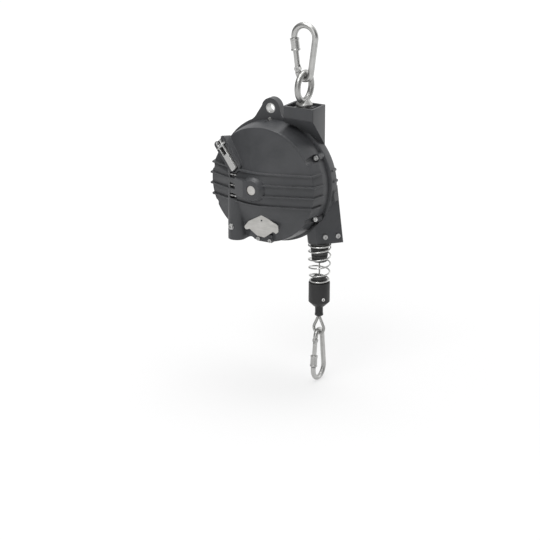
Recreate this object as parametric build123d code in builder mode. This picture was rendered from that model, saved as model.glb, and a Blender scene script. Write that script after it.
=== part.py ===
from build123d import *
import math
import os

os.makedirs("parts", exist_ok=True)

# Suspension: snap hook, swivel eye and the collar that carries the housing
hook_wire = 10.0
hook_length = 97.0
hook_big_radius = 19.0
hook_small_radius = 11.5
hook_nose = -0.5
hook_sleeve = 20.0
ring_wire = 10.0
ring_radius = 22.5
collar_radius = 13.5
collar_height = 9.0
stem_radius = 8.0
nut_flats = 24.0
nut_height = 8.0
washer_thickness = 1.5
seat_gap = 0.3
run_clearance = 0.05

# Housing castings, measured from the drum axis and back from the cover's rim
wall = 4.0
rim_radius = 95.0
skirt_radius = 100.0
flange_radius = 105.0
flange_depth = 41.0
flange_thickness = 5.0
band_depth = 24.0
body_back = 60.0
back_depth = 74.0
back_radius = 66.0
cone_height = 37.0
tower_left = 27.0
tower_width = 55.0
tower_depth = 44.0
tower_top = 131.0
tower_corner = 3.0
tower_shoulder = 112.0
recess_depth = 3.0
bridge_width = 30.0
bridge_height = 9.0
hook_depth = 39.0
lug_x = -9.0
lug_z = 118.0
lug_radius = 16.5
lug_thickness = 14.0
lug_bore = 7.0
rib_pitch = 18.0
rib_count = 4
rib_height = 2.6
rib_width = 2.6
shoulder_width = 28.0
shoulder_end = 22.0
boss_radius = 14.0
cap_depth = -38.0

# Outlet block, rope and what the rope carries
outlet_bottom = -95.0
outlet_top = -22.0
outlet_slope = 0.131
rope_x = 83.4
rope_depth = 42.0
rope_diameter = 2.5
guide_radius = 10.0
guide_height = 16.0
buffer_top_radius = 14.4
buffer_low_radius = 10.6
buffer_height = 29.0
spring_wire = 2.2
spring_turns = 4.5
spring_top_radius = 17.6
spring_low_radius = 15.2
seat_ring = 2.0
cup_top = -163.5
cup_radius = 17.6
cup_height = 43.5
cup_chamfer = 8.0
neck_radius = 6.5
neck_height = 15.0
plug_height = 10.0
thimble_radius = 12.0
thimble_height = 34.5
thimble_wall = 4.5
thimble_thickness = 6.0
load_wire = 8.0
load_length = 92.5
load_big_radius = 18.0
load_small_radius = 11.0
load_nose = 3.0
load_sleeve = 19.0

# Drum, mainspring and worm drive
shaft_radius = 8.0
bush_wall = 2.0
rope_pitch = 3.6
rope_turns = 4
drum_taper = 2.2
drum_front = 37.0
drum_back = 57.0
drum_lip = 2.0
chamber_radius = 76.0
chamber_front = 12.0
web_front = 49.0
hub_radius = 22.0
bearing_radius = 16.0
bearing_width = 9.0
web_thickness = 4.0
core_radius = 16.0
spring_strip = 1.4
coil_count = 8
lid_thickness = 4.0
lock_hole_count = 12
plunger_radius = 3.5
wheel_teeth = 40
wheel_radius = 36.0
worm_radius = 9.0
tooth_height = 1.2
thread_width = 1.6
wheel_depth = -6.0
wheel_width = 8.0
worm_turns = 5
worm_shaft = 5.0
column_radius = 14.6
column_wall = 3.4
column_bottom = -95.0
column_top = 34.0

# Fasteners and the lock lever
screw_head = 4.0
screw_shank = 2.5
head_height = 3.2
screw_length = 20.0
guide_screw_length = 12.0
outlet_screw_length = 2.6
screw_ring = 99.0
screw_depth = 26.0
pocket_radius = 5.6
pocket_wall = 3.0
lever_length = 58.0
lever_width = 10.0
lever_height = 7.0
lever_sheet = 1.5
lever_overhang = 10.0
lever_pin_radius = 2.0
lever_depth = -12.0
lever_x = -70.5
lever_z = 59.0
lever_turn = 45.0
lever_tilt = 13.6
pad_width = 32.0
pad_drop = 5.0
plunger_along = 24.0
guide_bush_radius = 5.5

# Access plate at the bottom of the cover, drawn from the front
plate_depth = -14.0
plate_thickness = 2.0
plate_lip = 1.2
plate_outline = [
    (8.3, -45.0, 3), (38.0, -58.7, 3), (38.8, -68.9, 2), (34.5, -73.3, 2), (28.7, -70.5, 2), (13.0, -82.8, 5),
    (-0.8, -81.8, 3), (-15.1, -72.3, 2), (-22.6, -74.9, 3), (-25.4, -70.1, 2), (-17.4, -59.6, 5),
]
plate_seat = [(8.3, -50, 2), (32.0, -61.0, 2), (12.0, -78.0, 4), (0.0, -78.0, 3), (-17.0, -66.0, 2), (-13.0, -61.0, 2)]
plate_hole = (7.3, -54.8)
plate_hole_radius = 1.6

# Places that follow from the sizes above
ring_r = ring_wire / 2
rope_r = rope_diameter / 2
eye_top = 2 * hook_wire - hook_length + ring_r + seat_gap
ring_z = eye_top - ring_radius
collar_z = ring_z - ring_radius - collar_height
bridge_z = collar_z - seat_gap - washer_thickness
drum_x = -(tower_left + tower_width / 2)
rim_y = -hook_depth
drum_z = bridge_z + recess_depth - tower_top
tower_front = hook_depth - tower_depth / 2
worm_x = -(wheel_radius + worm_radius)
column_bore = column_radius - column_wall
tooth_pitch = 2 * math.pi * wheel_radius / wheel_teeth
spring_top = outlet_bottom - seat_ring - seat_gap - spring_wire / 2
spring_low = cup_top + seat_gap + spring_wire / 2
rope_places = [
    (rope_depth + rope_pitch * i, rope_x + drum_taper * i) for i in range(rope_turns)
]
rib_levels = [rib_pitch * (i - (rib_count - 1) / 2) for i in range(rib_count)]
screw_angles = (31, 168, 205, 258)
guide_screw_angle = -31
screw_places = [
    (screw_ring * math.cos(math.radians(a)), screw_ring * math.sin(math.radians(a)))
    for a in (*screw_angles, guide_screw_angle)
]

# Working planes: front view, plan view and side section through the drum axis
centre = Vector(drum_x, rim_y, drum_z)
front = Plane(origin=centre, x_dir=(1, 0, 0), z_dir=(0, -1, 0))
plan = Plane(origin=centre, x_dir=(1, 0, 0), z_dir=(0, 0, 1))
side = Plane(origin=centre, x_dir=(0, 1, 0), z_dir=(1, 0, 0))
drum_axis = Axis(centre, (0, 1, 0))
rope_section = Plane(origin=centre + Vector(rope_x, rope_depth, 0), x_dir=(1, 0, 0), z_dir=(0, -1, 0))
rope_axis = Axis(rope_section.origin, (0, 0, 1))
tilt = math.radians(lever_tilt)
turned = math.radians(lever_turn)
lever_plane = Plane(
    origin=centre + Vector(lever_x, lever_depth, lever_z),
    x_dir=(math.cos(tilt) * math.cos(turned), -math.sin(tilt), -math.cos(tilt) * math.sin(turned)),
    z_dir=(-math.sin(tilt) * math.cos(turned), -math.cos(tilt), math.sin(tilt) * math.sin(turned)),
)
lever_across = Plane(origin=lever_plane.origin, x_dir=lever_plane.x_dir, z_dir=lever_plane.y_dir)


outlet_face = Plane(
    origin=centre + Vector(87.3, 25.6, outlet_bottom), x_dir=(29.7, 33.9, 0), z_dir=(33.9, -29.7, 33.9 * outlet_slope)
)
outlet_places = [(14.0, 12.0), (36.0, 12.0)]
lug_screw_z = 100.0
lug_head = 3.2


def at_depth(depth):
    return front.offset(-depth)


def at_height(height):
    return plan.offset(height)


def outline(plane, points, grow=0):
    # A point may carry the radius of its corner as a third value
    with BuildSketch(plane) as section:
        with BuildLine():
            corners = [point[:2] for point in points]
            radii = [point[2] if len(point) > 2 else 0 for point in points]
            FilletPolyline(*corners, radius=radii, close=True)
        make_face()
        if grow:
            offset(amount=grow)
    return section.sketch


def turn(plane, axis, points, mode=Mode.ADD):
    revolve(outline(plane, points), axis=axis, mode=mode)


def block(plane, points, length, mode=Mode.ADD):
    extrude(outline(plane, points), amount=length, mode=mode)


def rod(plane, radius, length, places=((0, 0),), mode=Mode.ADD):
    with BuildSketch(plane) as section:
        with Locations(*places):
            Circle(radius)
    extrude(section.sketch, amount=length, mode=mode)


def hand_over(piece, label):
    piece.part.label = label
    export_step(piece.part, f"parts/{label}.step")


def cone_depth(radius):
    return -cone_height * (1 - radius / rim_radius)


def cover_outline(grow):
    return [
        (flange_depth, 0),
        (flange_depth, skirt_radius + grow),
        (band_depth, skirt_radius - 1 + grow, 4),
        (-grow, rim_radius + grow, 3),
        (cone_depth(boss_radius) - grow, boss_radius),
        (cone_depth(boss_radius) - grow, 0),
    ]


# Front cover: shallow cone with ribs, shaft boss, worm column and lever pad
column_plan = Plane(
    origin=centre + Vector(worm_x, wheel_depth, column_bottom), x_dir=(1, 0, 0), z_dir=(0, 0, 1)
)
column_height = column_top - column_bottom
pad_start = -lever_overhang - 12.0
pad_end = lever_length - lever_overhang - 2.0
plunger_point = lever_plane.from_local_coords(Vector(plunger_along, 0, 0)) - centre
plunger_place = (plunger_point.X, plunger_point.Z)
lock_radius = math.hypot(*plunger_place)
lock_angle = math.degrees(math.atan2(plunger_point.Z, plunger_point.X))
pad_face = lever_plane.offset(-pad_drop)
ear_inner = lever_width / 2 + 1.0
latch_outline = [(-7, -93), (23, -93), (23, -80), (-7, -80)]
latch_depth = -8.0
latch_places = [(-2.5, -88.5), (19.0, -89.5)]
boss_radius_out = pocket_radius + pocket_wall - 2.5
stud_places = [(worm_x + 3, height) for height in (15.9, -2.0, -19.7)]
stud_floor = -19.0
stud_radius = 1.2
column_screw = Plane(origin=centre + Vector(-48.0, -20.3, -72.5), x_dir=(0.98, -0.2, 0), z_dir=(0.2, 0.98, 0))
rope_hole = 6.0
rope_notch = 50.0

with BuildPart() as front_cover:
    turn(side, drum_axis, cover_outline(0))
    for level in rib_levels:
        with BuildPart(mode=Mode.PRIVATE) as rib:
            turn(side, drum_axis, cover_outline(rib_height))
            with BuildSketch(at_depth(band_depth)) as strip:
                with Locations((0, level)):
                    Rectangle(4 * rim_radius, rib_width)
            extrude(strip.sketch, amount=band_depth + cone_height + 3 * rib_height, mode=Mode.INTERSECT)
        add(rib.part)
    # Raised shoulder that joins the shaft boss to the worm column
    block(at_height(-shoulder_width / 2), [
        (worm_x - 3, 0), (worm_x - 3, wheel_depth - column_radius, 3), (-boss_radius, cap_depth, 6),
        (shoulder_end, cap_depth, 3), (shoulder_end, 0),
    ], shoulder_width)
    # Column for the worm, with a web back to the skirt
    rod(column_plan, column_radius, column_height)
    web_depth = band_depth - wheel_depth
    block(column_plan, [
        (-column_radius, 0), (column_radius, 0), (column_radius, web_depth), (-column_radius, web_depth),
    ], column_height)
    # Pad under the lock lever, standing out past the rim at the upper left
    with BuildSketch(pad_face) as pad:
        with Locations(((pad_start + pad_end) / 2, 0)):
            RectangleRounded(pad_end - pad_start, pad_width, 12)
    extrude(pad.sketch, amount=-16)
    rod(at_depth(band_depth), 17.0, band_depth + 5.0, places=[(-80.0, 51.0)])
    for edge in (-1, 1):
        block(pad_face, [
            (-5, edge * ear_inner), (5, edge * ear_inner), (5, edge * (ear_inner + 4)), (-5, edge * (ear_inner + 4)),
        ], pad_drop + 2.5)
    # Latch block below the access plate, and screw bosses on the skirt
    block(at_depth(6), latch_outline, 6 - latch_depth)
    block(at_depth(6), plate_seat, 6 - plate_depth)
    rod(at_depth(flange_depth), boss_radius_out, flange_depth - 4, places=screw_places)
    # Inside: cone and skirt at an even wall
    turn(side, drum_axis, [
        (flange_depth, 0),
        (flange_depth, skirt_radius - wall),
        (band_depth, skirt_radius - 1 - wall),
        (wall, rim_radius - wall, 4),
        (cone_depth(boss_radius) + wall + 5, boss_radius),
        (cone_depth(boss_radius) + wall + 5, 0),
    ], mode=Mode.SUBTRACT)
    rod(at_depth(flange_depth), boss_radius_out, flange_depth - screw_depth, places=screw_places)
    rod(at_depth(0), shaft_radius + bush_wall, 2 * cone_height, mode=Mode.SUBTRACT)
    rod(at_depth(screw_depth), pocket_radius, screw_depth + 10, places=screw_places, mode=Mode.SUBTRACT)
    rod(at_depth(flange_depth), screw_shank + run_clearance, 20, places=screw_places, mode=Mode.SUBTRACT)
    rod(column_plan.offset(3), column_bore, column_height - 6, mode=Mode.SUBTRACT)
    rod(column_plan, worm_shaft + 1.5, 10, mode=Mode.SUBTRACT)
    rod(at_depth(wheel_depth + 6.5), wheel_radius + 2.7, 13, mode=Mode.SUBTRACT)
    rod(at_depth(flange_depth), lug_head + seat_gap, 20, places=[(lug_x, lug_screw_z)], mode=Mode.SUBTRACT)
    extrude(outline(at_depth(plate_depth), plate_outline, seat_gap), amount=14, mode=Mode.SUBTRACT)
    block(pad_face, [(0, -5.7), (49.5, -5.7), (49.5, 5.7), (0, 5.7)], 30, mode=Mode.SUBTRACT)
    rod(at_depth(stud_floor), pocket_radius - 1, 20, places=stud_places, mode=Mode.SUBTRACT)
    rod(at_depth(stud_floor + 1.4), stud_radius, 4, places=stud_places, mode=Mode.SUBTRACT)
    rod(column_screw, screw_shank + run_clearance, 12, mode=Mode.SUBTRACT)
    rod(at_height(outlet_bottom), rope_hole, rope_notch, places=[(rope_x, rope_depth)], mode=Mode.SUBTRACT)
    rod(at_depth(6), guide_bush_radius, 40, places=[plunger_place], mode=Mode.SUBTRACT)
    rod(at_depth(latch_depth + 8), screw_shank + run_clearance, 10, places=latch_places, mode=Mode.SUBTRACT)
    # Pocket for the lever's short end and the bore of its pin
    block(pad_face.offset(-7.5), [(-11.8, -6), (4.8, -6), (4.8, 6), (-11.8, 6)], 20, mode=Mode.SUBTRACT)
    rod(lever_across.offset(-20), lever_pin_radius, 40, mode=Mode.SUBTRACT)
hand_over(front_cover, "front_cover")

# Rear housing: flange, back shell, safety lug, hook tower and outlet block
outlet_low = [
    (67.0, body_back + 1, 2),
    (67.0, 31.0, 4),
    (72.0, 25.6, 3),
    (87.3, 25.6, 1.5),
    (117.0, 59.5, 1),
    (117.0, body_back + 1, 0.5),
]
outlet_shift = outlet_slope * (outlet_top - outlet_bottom)
outlet_high = [(x - outlet_shift, y, r) for x, y, r in outlet_low]
tower_mid = (tower_left + tower_width / 2, hook_depth)
cavity_floor = tower_top - recess_depth - bridge_height - 5.0
nut_pocket_floor = cavity_floor - 7.0

with BuildPart() as main_housing:
    turn(side, drum_axis, [
        (flange_depth, 0),
        (flange_depth, flange_radius, 1.5),
        (body_back, flange_radius, 4),
        (back_depth, back_radius, 8),
        (back_depth, 0),
    ])
    rod(at_depth(back_depth + 6), 20.0, 8)
    rod(at_depth(flange_depth + lug_thickness), lug_radius, lug_thickness, places=[(lug_x, lug_z)])
    block(at_depth(flange_depth + lug_thickness), [
        (-44, 86), (-29, 101, 14), (lug_x - lug_radius + 0.6, lug_z + 3), (lug_x + lug_radius - 0.6, lug_z + 3),
        (lug_x + lug_radius + 2, 104, 8), (tower_left + 2, 104), (tower_left + 2, 86),
    ], lug_thickness)
    with BuildPart(mode=Mode.PRIVATE) as tower:
        with BuildSketch(plan) as tower_plan:
            with Locations(tower_mid):
                RectangleRounded(tower_width, tower_depth, tower_corner)
        extrude(tower_plan.sketch, amount=tower_top)
        block(side, [
            (tower_front, tower_top), (tower_front, tower_shoulder, 12), (flange_depth, 84, 6), (flange_depth, 40),
            (tower_front + tower_depth, 40), (tower_front + tower_depth, tower_top),
        ], 2 * flange_radius, mode=Mode.INTERSECT)
    add(tower.part)
    loft([outline(at_height(outlet_bottom), outlet_low), outline(at_height(outlet_top), outlet_high)])
    # Space for the drum, the cover's skirt and the swivel
    turn(side, drum_axis, [
        (tower_front - 5, 0),
        (tower_front - 5, skirt_radius + seat_gap),
        (flange_depth, skirt_radius + seat_gap),
        (flange_depth, skirt_radius - wall),
        (flange_depth + flange_thickness, skirt_radius - wall),
        (flange_depth + flange_thickness, flange_radius - wall),
        (body_back - 2.5, flange_radius - wall, 3),
        (back_depth - wall, back_radius - wall, 5),
        (back_depth - wall, 0),
    ], mode=Mode.SUBTRACT)
    with BuildSketch(at_height(tower_top)) as tower_hollow:
        with Locations(tower_mid):
            RectangleRounded(tower_width - 2 * wall, tower_depth - 2 * wall, tower_corner)
    extrude(tower_hollow.sketch, amount=-(tower_top - cavity_floor), mode=Mode.SUBTRACT)
    rod(at_height(tower_top), nut_flats / 2 + 2.5, nut_pocket_floor - tower_top, places=[tower_mid], mode=Mode.SUBTRACT)
    with BuildSketch(at_height(tower_top - recess_depth)) as bridge:
        with Locations(tower_mid):
            Rectangle(bridge_width, tower_depth - wall)
    extrude(bridge.sketch, amount=-bridge_height)
    rod(at_height(tower_top), stem_radius + run_clearance, -recess_depth - bridge_height - 1,
        places=[tower_mid], mode=Mode.SUBTRACT)
    rod(at_depth(flange_depth + lug_thickness + 1), lug_bore + 1.5, 2 * lug_thickness,
        places=[(lug_x, lug_z)], mode=Mode.SUBTRACT)
    rod(at_depth(back_depth + 7), shaft_radius + bush_wall, 20, mode=Mode.SUBTRACT)
    rod(at_depth(flange_depth + 8), screw_shank + run_clearance, 10, places=screw_places, mode=Mode.SUBTRACT)
    rod(at_height(outlet_bottom), guide_radius, guide_height, places=[(rope_x, rope_depth)], mode=Mode.SUBTRACT)
    rod(at_height(outlet_bottom), rope_hole, rope_notch, places=[(rope_x, rope_depth)], mode=Mode.SUBTRACT)
    rod(at_depth(flange_depth), boss_radius_out + seat_gap, 40, places=screw_places, mode=Mode.SUBTRACT)
    rod(at_depth(flange_depth + 8), screw_shank + run_clearance, 10, places=[(lug_x, lug_screw_z)], mode=Mode.SUBTRACT)
    rod(outlet_face.offset(1), screw_shank + run_clearance, -outlet_screw_length - 1.3, places=outlet_places, mode=Mode.SUBTRACT)
hand_over(main_housing, "main_housing")

# Round bearing and bore bushes, each a plain ring
def ring(plane, outer, inner, length, places=((0, 0),)):
    rod(plane, outer, length, places=places)
    rod(plane, inner, length, places=places, mode=Mode.SUBTRACT)


with BuildPart() as front_bearing:
    ring(at_depth(-23), shaft_radius + bush_wall - run_clearance, shaft_radius + run_clearance, 14.5)
hand_over(front_bearing, "front_bearing")

with BuildPart() as rear_bearing:
    ring(at_depth(back_depth + 6), shaft_radius + bush_wall - run_clearance, shaft_radius + run_clearance, 10)
hand_over(rear_bearing, "rear_bearing")

with BuildPart() as lug_bush:
    ring(at_depth(flange_depth + lug_thickness), lug_bore + 1.5 - run_clearance, lug_bore, lug_thickness,
         places=[(lug_x, lug_z)])
hand_over(lug_bush, "lug_bush")

with BuildPart() as worm_bushes:
    ring(column_plan.offset(3.2), column_bore - run_clearance, worm_shaft + run_clearance, 9)
    ring(column_plan.offset(column_height - 12.2), column_bore - run_clearance, worm_shaft + run_clearance, 9)
hand_over(worm_bushes, "worm_bushes")

with BuildPart() as plunger_guide:
    ring(at_depth(2), guide_bush_radius - run_clearance, plunger_radius + run_clearance, 13, places=[plunger_place])
hand_over(plunger_guide, "plunger_guide")


# Socket screws: the plane lies on the seat and looks outwards
def cap_screws(plane, places, radius, shank, length):
    rod(plane, radius, head_height * radius / screw_head, places=places)
    rod(plane, shank, -length, places=places)
    with BuildSketch(plane.offset(head_height * radius / screw_head)) as sockets:
        with Locations(*places):
            RegularPolygon(radius * 0.52, 6)
    extrude(sockets.sketch, amount=-0.5 * head_height, mode=Mode.SUBTRACT)


with BuildPart() as cover_screws:
    cap_screws(at_depth(screw_depth), screw_places[:-1], screw_head, screw_shank, screw_length)
    cap_screws(at_depth(screw_depth), screw_places[-1:], screw_head, screw_shank, guide_screw_length)
hand_over(cover_screws, "cover_screws")

with BuildPart() as outlet_screws:
    cap_screws(outlet_face, outlet_places, screw_head, screw_shank, outlet_screw_length)
hand_over(outlet_screws, "outlet_screws")

with BuildPart() as lug_screw:
    cap_screws(at_depth(flange_depth), [(lug_x, lug_screw_z)], lug_head, screw_shank, 6)
hand_over(lug_screw, "lug_screw")

with BuildPart() as latch_bolts:
    cap_screws(at_depth(latch_depth), latch_places, 3.2, screw_shank, 8)
hand_over(latch_bolts, "latch_bolts")

with BuildPart() as column_bolt:
    cap_screws(Plane(origin=column_screw.origin, x_dir=(1, 0, 0), z_dir=(-0.2, -0.98, 0)).offset(seat_gap),
               [(0, 0)], screw_head, screw_shank, 3.2)
hand_over(column_bolt, "column_bolt")

with BuildPart() as lock_studs:
    rod(at_depth(stud_floor), 2.8, 2.2, places=stud_places)
    rod(at_depth(stud_floor), stud_radius - run_clearance, -1.2, places=stud_places)
    with BuildSketch(at_depth(stud_floor - 2.2)) as slots:
        with Locations(*stud_places):
            Rectangle(6, 0.9)
    extrude(slots.sketch, amount=-0.9, mode=Mode.SUBTRACT)
hand_over(lock_studs, "lock_studs")

with BuildPart() as access_plate:
    block(at_depth(plate_depth), plate_outline, plate_thickness)
    rod(at_depth(plate_depth), plate_hole_radius, plate_thickness, places=[plate_hole], mode=Mode.SUBTRACT)
hand_over(access_plate, "access_plate")

# Rope outlet: guide, rubber buffer and its barrel spring, all on the rope's line
with BuildPart() as rope_guide:
    turn(rope_section, rope_axis, [
        (2.2, outlet_bottom + 0.2), (2.2, outlet_bottom + guide_height - 5), (6.0, outlet_bottom + guide_height),
        (guide_radius - run_clearance, outlet_bottom + guide_height), (guide_radius - run_clearance, outlet_bottom + 0.2),
    ])
hand_over(rope_guide, "rope_guide")

buffer_low = outlet_bottom - seat_ring - buffer_height
groove_levels = [outlet_bottom - seat_ring - 6.0 * (i + 1) for i in range(4)]
with BuildPart() as buffer:
    turn(rope_section, rope_axis, [
        (3.5, outlet_bottom), (17.0, outlet_bottom), (17.0, outlet_bottom - seat_ring),
        (buffer_top_radius, outlet_bottom - seat_ring, 0.8), (buffer_low_radius, buffer_low, 2), (3.5, buffer_low),
    ])
    for level in groove_levels:
        share = (outlet_bottom - seat_ring - level) / buffer_height
        surface = buffer_top_radius + (buffer_low_radius - buffer_top_radius) * share
        turn(rope_section, rope_axis, [
            (surface - 1.2, level - 0.9, 0.4), (surface - 1.2, level + 0.9, 0.4),
            (surface + 2, level + 1.4), (surface + 2, level - 1.4),
        ], mode=Mode.SUBTRACT)
hand_over(buffer, "buffer")

spring_steps = 14
spring_points = []
for step in range(int(spring_turns * spring_steps) + 1):
    share = step / (spring_turns * spring_steps)
    around = 2 * math.pi * spring_turns * share
    belly = spring_top_radius + (spring_low_radius - spring_top_radius) * share + 1.2 * math.sin(math.pi * share)
    spring_points.append((
        rope_x + belly * math.cos(around), rope_depth + belly * math.sin(around),
        spring_top + (spring_low - spring_top) * share,
    ))
spring_points = [centre + Vector(*point) for point in spring_points]
with BuildPart() as buffer_spring:
    with BuildLine() as spring_path:
        Spline(*spring_points)
    with BuildSketch(Plane(origin=spring_path.line @ 0, z_dir=spring_path.line % 0)) as wire:
        Circle(spring_wire / 2)
    sweep(wire.sketch, path=spring_path.line)
hand_over(buffer_spring, "buffer_spring")

# Arbor with the mainspring's core, and the worm wheel on it
with BuildPart() as arbor_shaft:
    turn(side, drum_axis, [
        (-36.8, 0), (-36.8, shaft_radius, 0.6), (chamber_front + 1.5, shaft_radius), (chamber_front + 1.5, core_radius),
        (web_front - 2.5, core_radius), (web_front - 2.5, shaft_radius), (back_depth + 5, shaft_radius, 0.6),
        (back_depth + 5, 0),
    ])
hand_over(arbor_shaft, "arbor_shaft")

root_radius = wheel_radius - tooth_height - 0.4
tip_radius = wheel_radius + tooth_height
with BuildPart() as worm_wheel:
    with BuildSketch(at_depth(wheel_depth + wheel_width / 2)) as blank:
        Circle(root_radius)
        with PolarLocations(root_radius - 0.5, wheel_teeth):
            Polygon((0, -1.45), (tip_radius - root_radius + 0.5, -0.6), (tip_radius - root_radius + 0.5, 0.6),
                    (0, 1.45), align=None)
        Circle(shaft_radius + run_clearance, mode=Mode.SUBTRACT)
        with PolarLocations(22.0, 6):
            Circle(6.0, mode=Mode.SUBTRACT)
    extrude(blank.sketch, amount=wheel_width)
hand_over(worm_wheel, "worm_wheel")

# Worm: a threaded shaft in the column, driven by a key from below
worm_root = worm_radius - tooth_height - 0.4
thread_low = -worm_turns * tooth_pitch / 2
worm_line = Plane(origin=centre + Vector(worm_x, wheel_depth, 0), x_dir=(1, 0, 0), z_dir=(0, 0, 1))
worm_side = Plane(origin=worm_line.origin, x_dir=(1, 0, 0), z_dir=(0, -1, 0))
with BuildPart() as worm:
    turn(worm_side, Axis(worm_line.origin, (0, 0, 1)), [
        (0, column_bottom + 1.5), (worm_shaft, column_bottom + 1.5), (worm_shaft, thread_low - 4, 1),
        (worm_root, thread_low - 3, 0.8), (worm_root, -thread_low + 3, 0.8), (worm_shaft, -thread_low + 4, 1),
        (worm_shaft, column_top - 4), (0, column_top - 4),
    ])
    with BuildLine(worm_line.offset(thread_low)) as thread_path:
        Helix(pitch=tooth_pitch, height=worm_turns * tooth_pitch, radius=worm_root - 0.3)
    with BuildSketch(Plane(origin=thread_path.line @ 0, x_dir=(1, 0, 0), z_dir=thread_path.line % 0)) as thread:
        with BuildLine():
            Polyline((0, -1.2), (worm_radius + tooth_height - worm_root + 0.3, -0.5),
                     (worm_radius + tooth_height - worm_root + 0.3, 0.5), (0, 1.2), close=True)
        make_face()
    sweep(thread.sketch, path=thread_path.line, is_frenet=True)
    with BuildSketch(worm_line.offset(column_bottom + 1.5)) as key:
        RegularPolygon(3.0, 6)
    extrude(key.sketch, amount=6, mode=Mode.SUBTRACT)
hand_over(worm, "worm")

# Drum: conical rope rim with a groove per turn, spring chamber, web and hub
def rim_surface(depth):
    return rope_x + drum_taper * (depth - rope_depth) / rope_pitch


hub_end = web_front + 2 * bearing_width + 1.5
chamber_inner = chamber_radius - 2
chamber_outer = chamber_radius + 2
with BuildPart() as rope_drum:
    turn(side, drum_axis, [
        (chamber_front, chamber_inner), (chamber_front, chamber_outer), (drum_front, chamber_outer, 2),
        (drum_front, rim_surface(drum_front) + 6, 0.8), (drum_front + drum_lip, rim_surface(drum_front) + 6, 0.8),
        (drum_front + drum_lip, rim_surface(drum_front + drum_lip)),
        (drum_back - drum_lip, rim_surface(drum_back - drum_lip)), (drum_back - drum_lip, skirt_radius - 5, 0.8),
        (drum_back, skirt_radius - 5, 0.8), (drum_back, chamber_outer + 6, 3),
        (web_front + web_thickness, chamber_outer + 2, 3), (web_front + web_thickness, hub_radius, 3), (hub_end, hub_radius, 1),
        (hub_end, bearing_radius), (web_front, bearing_radius), (web_front, chamber_inner, 3),
    ])
    for depth, radius in rope_places:
        with BuildSketch(side) as groove:
            with Locations((depth, radius)):
                Circle(rope_r + 0.35)
        revolve(groove.sketch, axis=drum_axis, mode=Mode.SUBTRACT)
hand_over(rope_drum, "rope_drum")

with BuildPart() as drum_bearings:
    for start in (web_front + 0.5, web_front + 1 + bearing_width):
        ring(at_depth(start + bearing_width), bearing_radius - run_clearance, shaft_radius + run_clearance, bearing_width)
hand_over(drum_bearings, "drum_bearings")

with BuildPart() as spring_cover:
    ring(at_depth(chamber_front), chamber_outer, shaft_radius + 2, lid_thickness)
    with BuildSketch(at_depth(chamber_front)) as holes:
        with PolarLocations(lock_radius, lock_hole_count, start_angle=lock_angle):
            Circle(plunger_radius + 0.7)
    extrude(holes.sketch, amount=lid_thickness, mode=Mode.SUBTRACT)
hand_over(spring_cover, "spring_cover")

strip_inner = core_radius + 1.0 + spring_strip / 2
strip_outer = chamber_inner - 0.6 - spring_strip / 2
strip_steps = 16
strip_points = []
for step in range(coil_count * strip_steps + 1):
    share = step / (coil_count * strip_steps)
    reach = strip_inner + (strip_outer - strip_inner) * share
    strip_points.append((
        reach * math.cos(2 * math.pi * coil_count * share), reach * math.sin(2 * math.pi * coil_count * share),
    ))
with BuildPart() as mainspring:
    with BuildSketch(at_depth(web_front - 3)) as strip_section:
        with BuildLine() as strip_line:
            Spline(*strip_points)
        trace(line_width=spring_strip)
    extrude(strip_section.sketch, amount=web_front - chamber_front - 5)
hand_over(mainspring, "mainspring")

with BuildPart() as wound_rope:
    for index, (depth, radius) in enumerate(rope_places):
        with BuildSketch(side) as strand:
            with Locations((depth, radius)):
                Circle(rope_r)
        if index == 0:
            with BuildSketch(plan.offset(0.3)) as first:
                with Locations((radius, depth)):
                    Circle(rope_r)
            revolve(first.sketch, axis=drum_axis, revolution_arc=-320)
        else:
            revolve(strand.sketch, axis=drum_axis)
hand_over(wound_rope, "wound_rope")

# Straight run of the rope and what hangs on it
clamp_low = cup_top - cup_height - neck_height
with BuildPart() as rope_run:
    rod(at_height(clamp_low + 5), rope_r, -seat_gap - clamp_low - 5, places=[(rope_x, rope_depth)])
hand_over(rope_run, "rope_run")

rope_bore = rope_r + run_clearance
cup_low = cup_top - cup_height
cup_floor = cup_top - 16.0
cup_places = [(-38.4, -189.7), (-58.3, -168.2)]
clamp_planes = [
    Plane(
        origin=centre + Vector(
            rope_x + cup_radius * math.cos(math.radians(angle)), rope_depth + cup_radius * math.sin(math.radians(angle)), height
        ),
        x_dir=(0, 0, 1), z_dir=(math.cos(math.radians(angle)), math.sin(math.radians(angle)), 0),
    )
    for angle, height in cup_places
]
with BuildPart() as rope_clamp:
    turn(rope_section, rope_axis, [
        (rope_bore, cup_floor), (14.6, cup_floor, 1.5), (14.6, cup_top), (cup_radius, cup_top, 1.2),
        (cup_radius, cup_low + cup_chamfer, 4), (10.0, cup_low, 2), (neck_radius, cup_low), (neck_radius, clamp_low),
        (rope_bore, clamp_low),
    ])
    for place in clamp_planes:
        rod(place.offset(1), 1.9 + run_clearance, -4.2, mode=Mode.SUBTRACT)
        rod(place.offset(1), 3.4, -2.2, mode=Mode.SUBTRACT)
hand_over(rope_clamp, "rope_clamp")

with BuildPart() as clamp_screws:
    for place in clamp_planes:
        cap_screws(place.offset(-1.2), [(0, 0)], 3.0, 1.9, 1.6)
hand_over(clamp_screws, "clamp_screws")

with BuildPart() as cup_plug:
    turn(rope_section, rope_axis, [
        (rope_bore + 0.4, cup_floor + 0.1), (13.8, cup_floor + 0.1, 1), (13.8, cup_top - 4, 2),
        (10.5, cup_top + plug_height, 2), (rope_bore + 0.4, cup_top + plug_height),
    ])
hand_over(cup_plug, "cup_plug")

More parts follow.
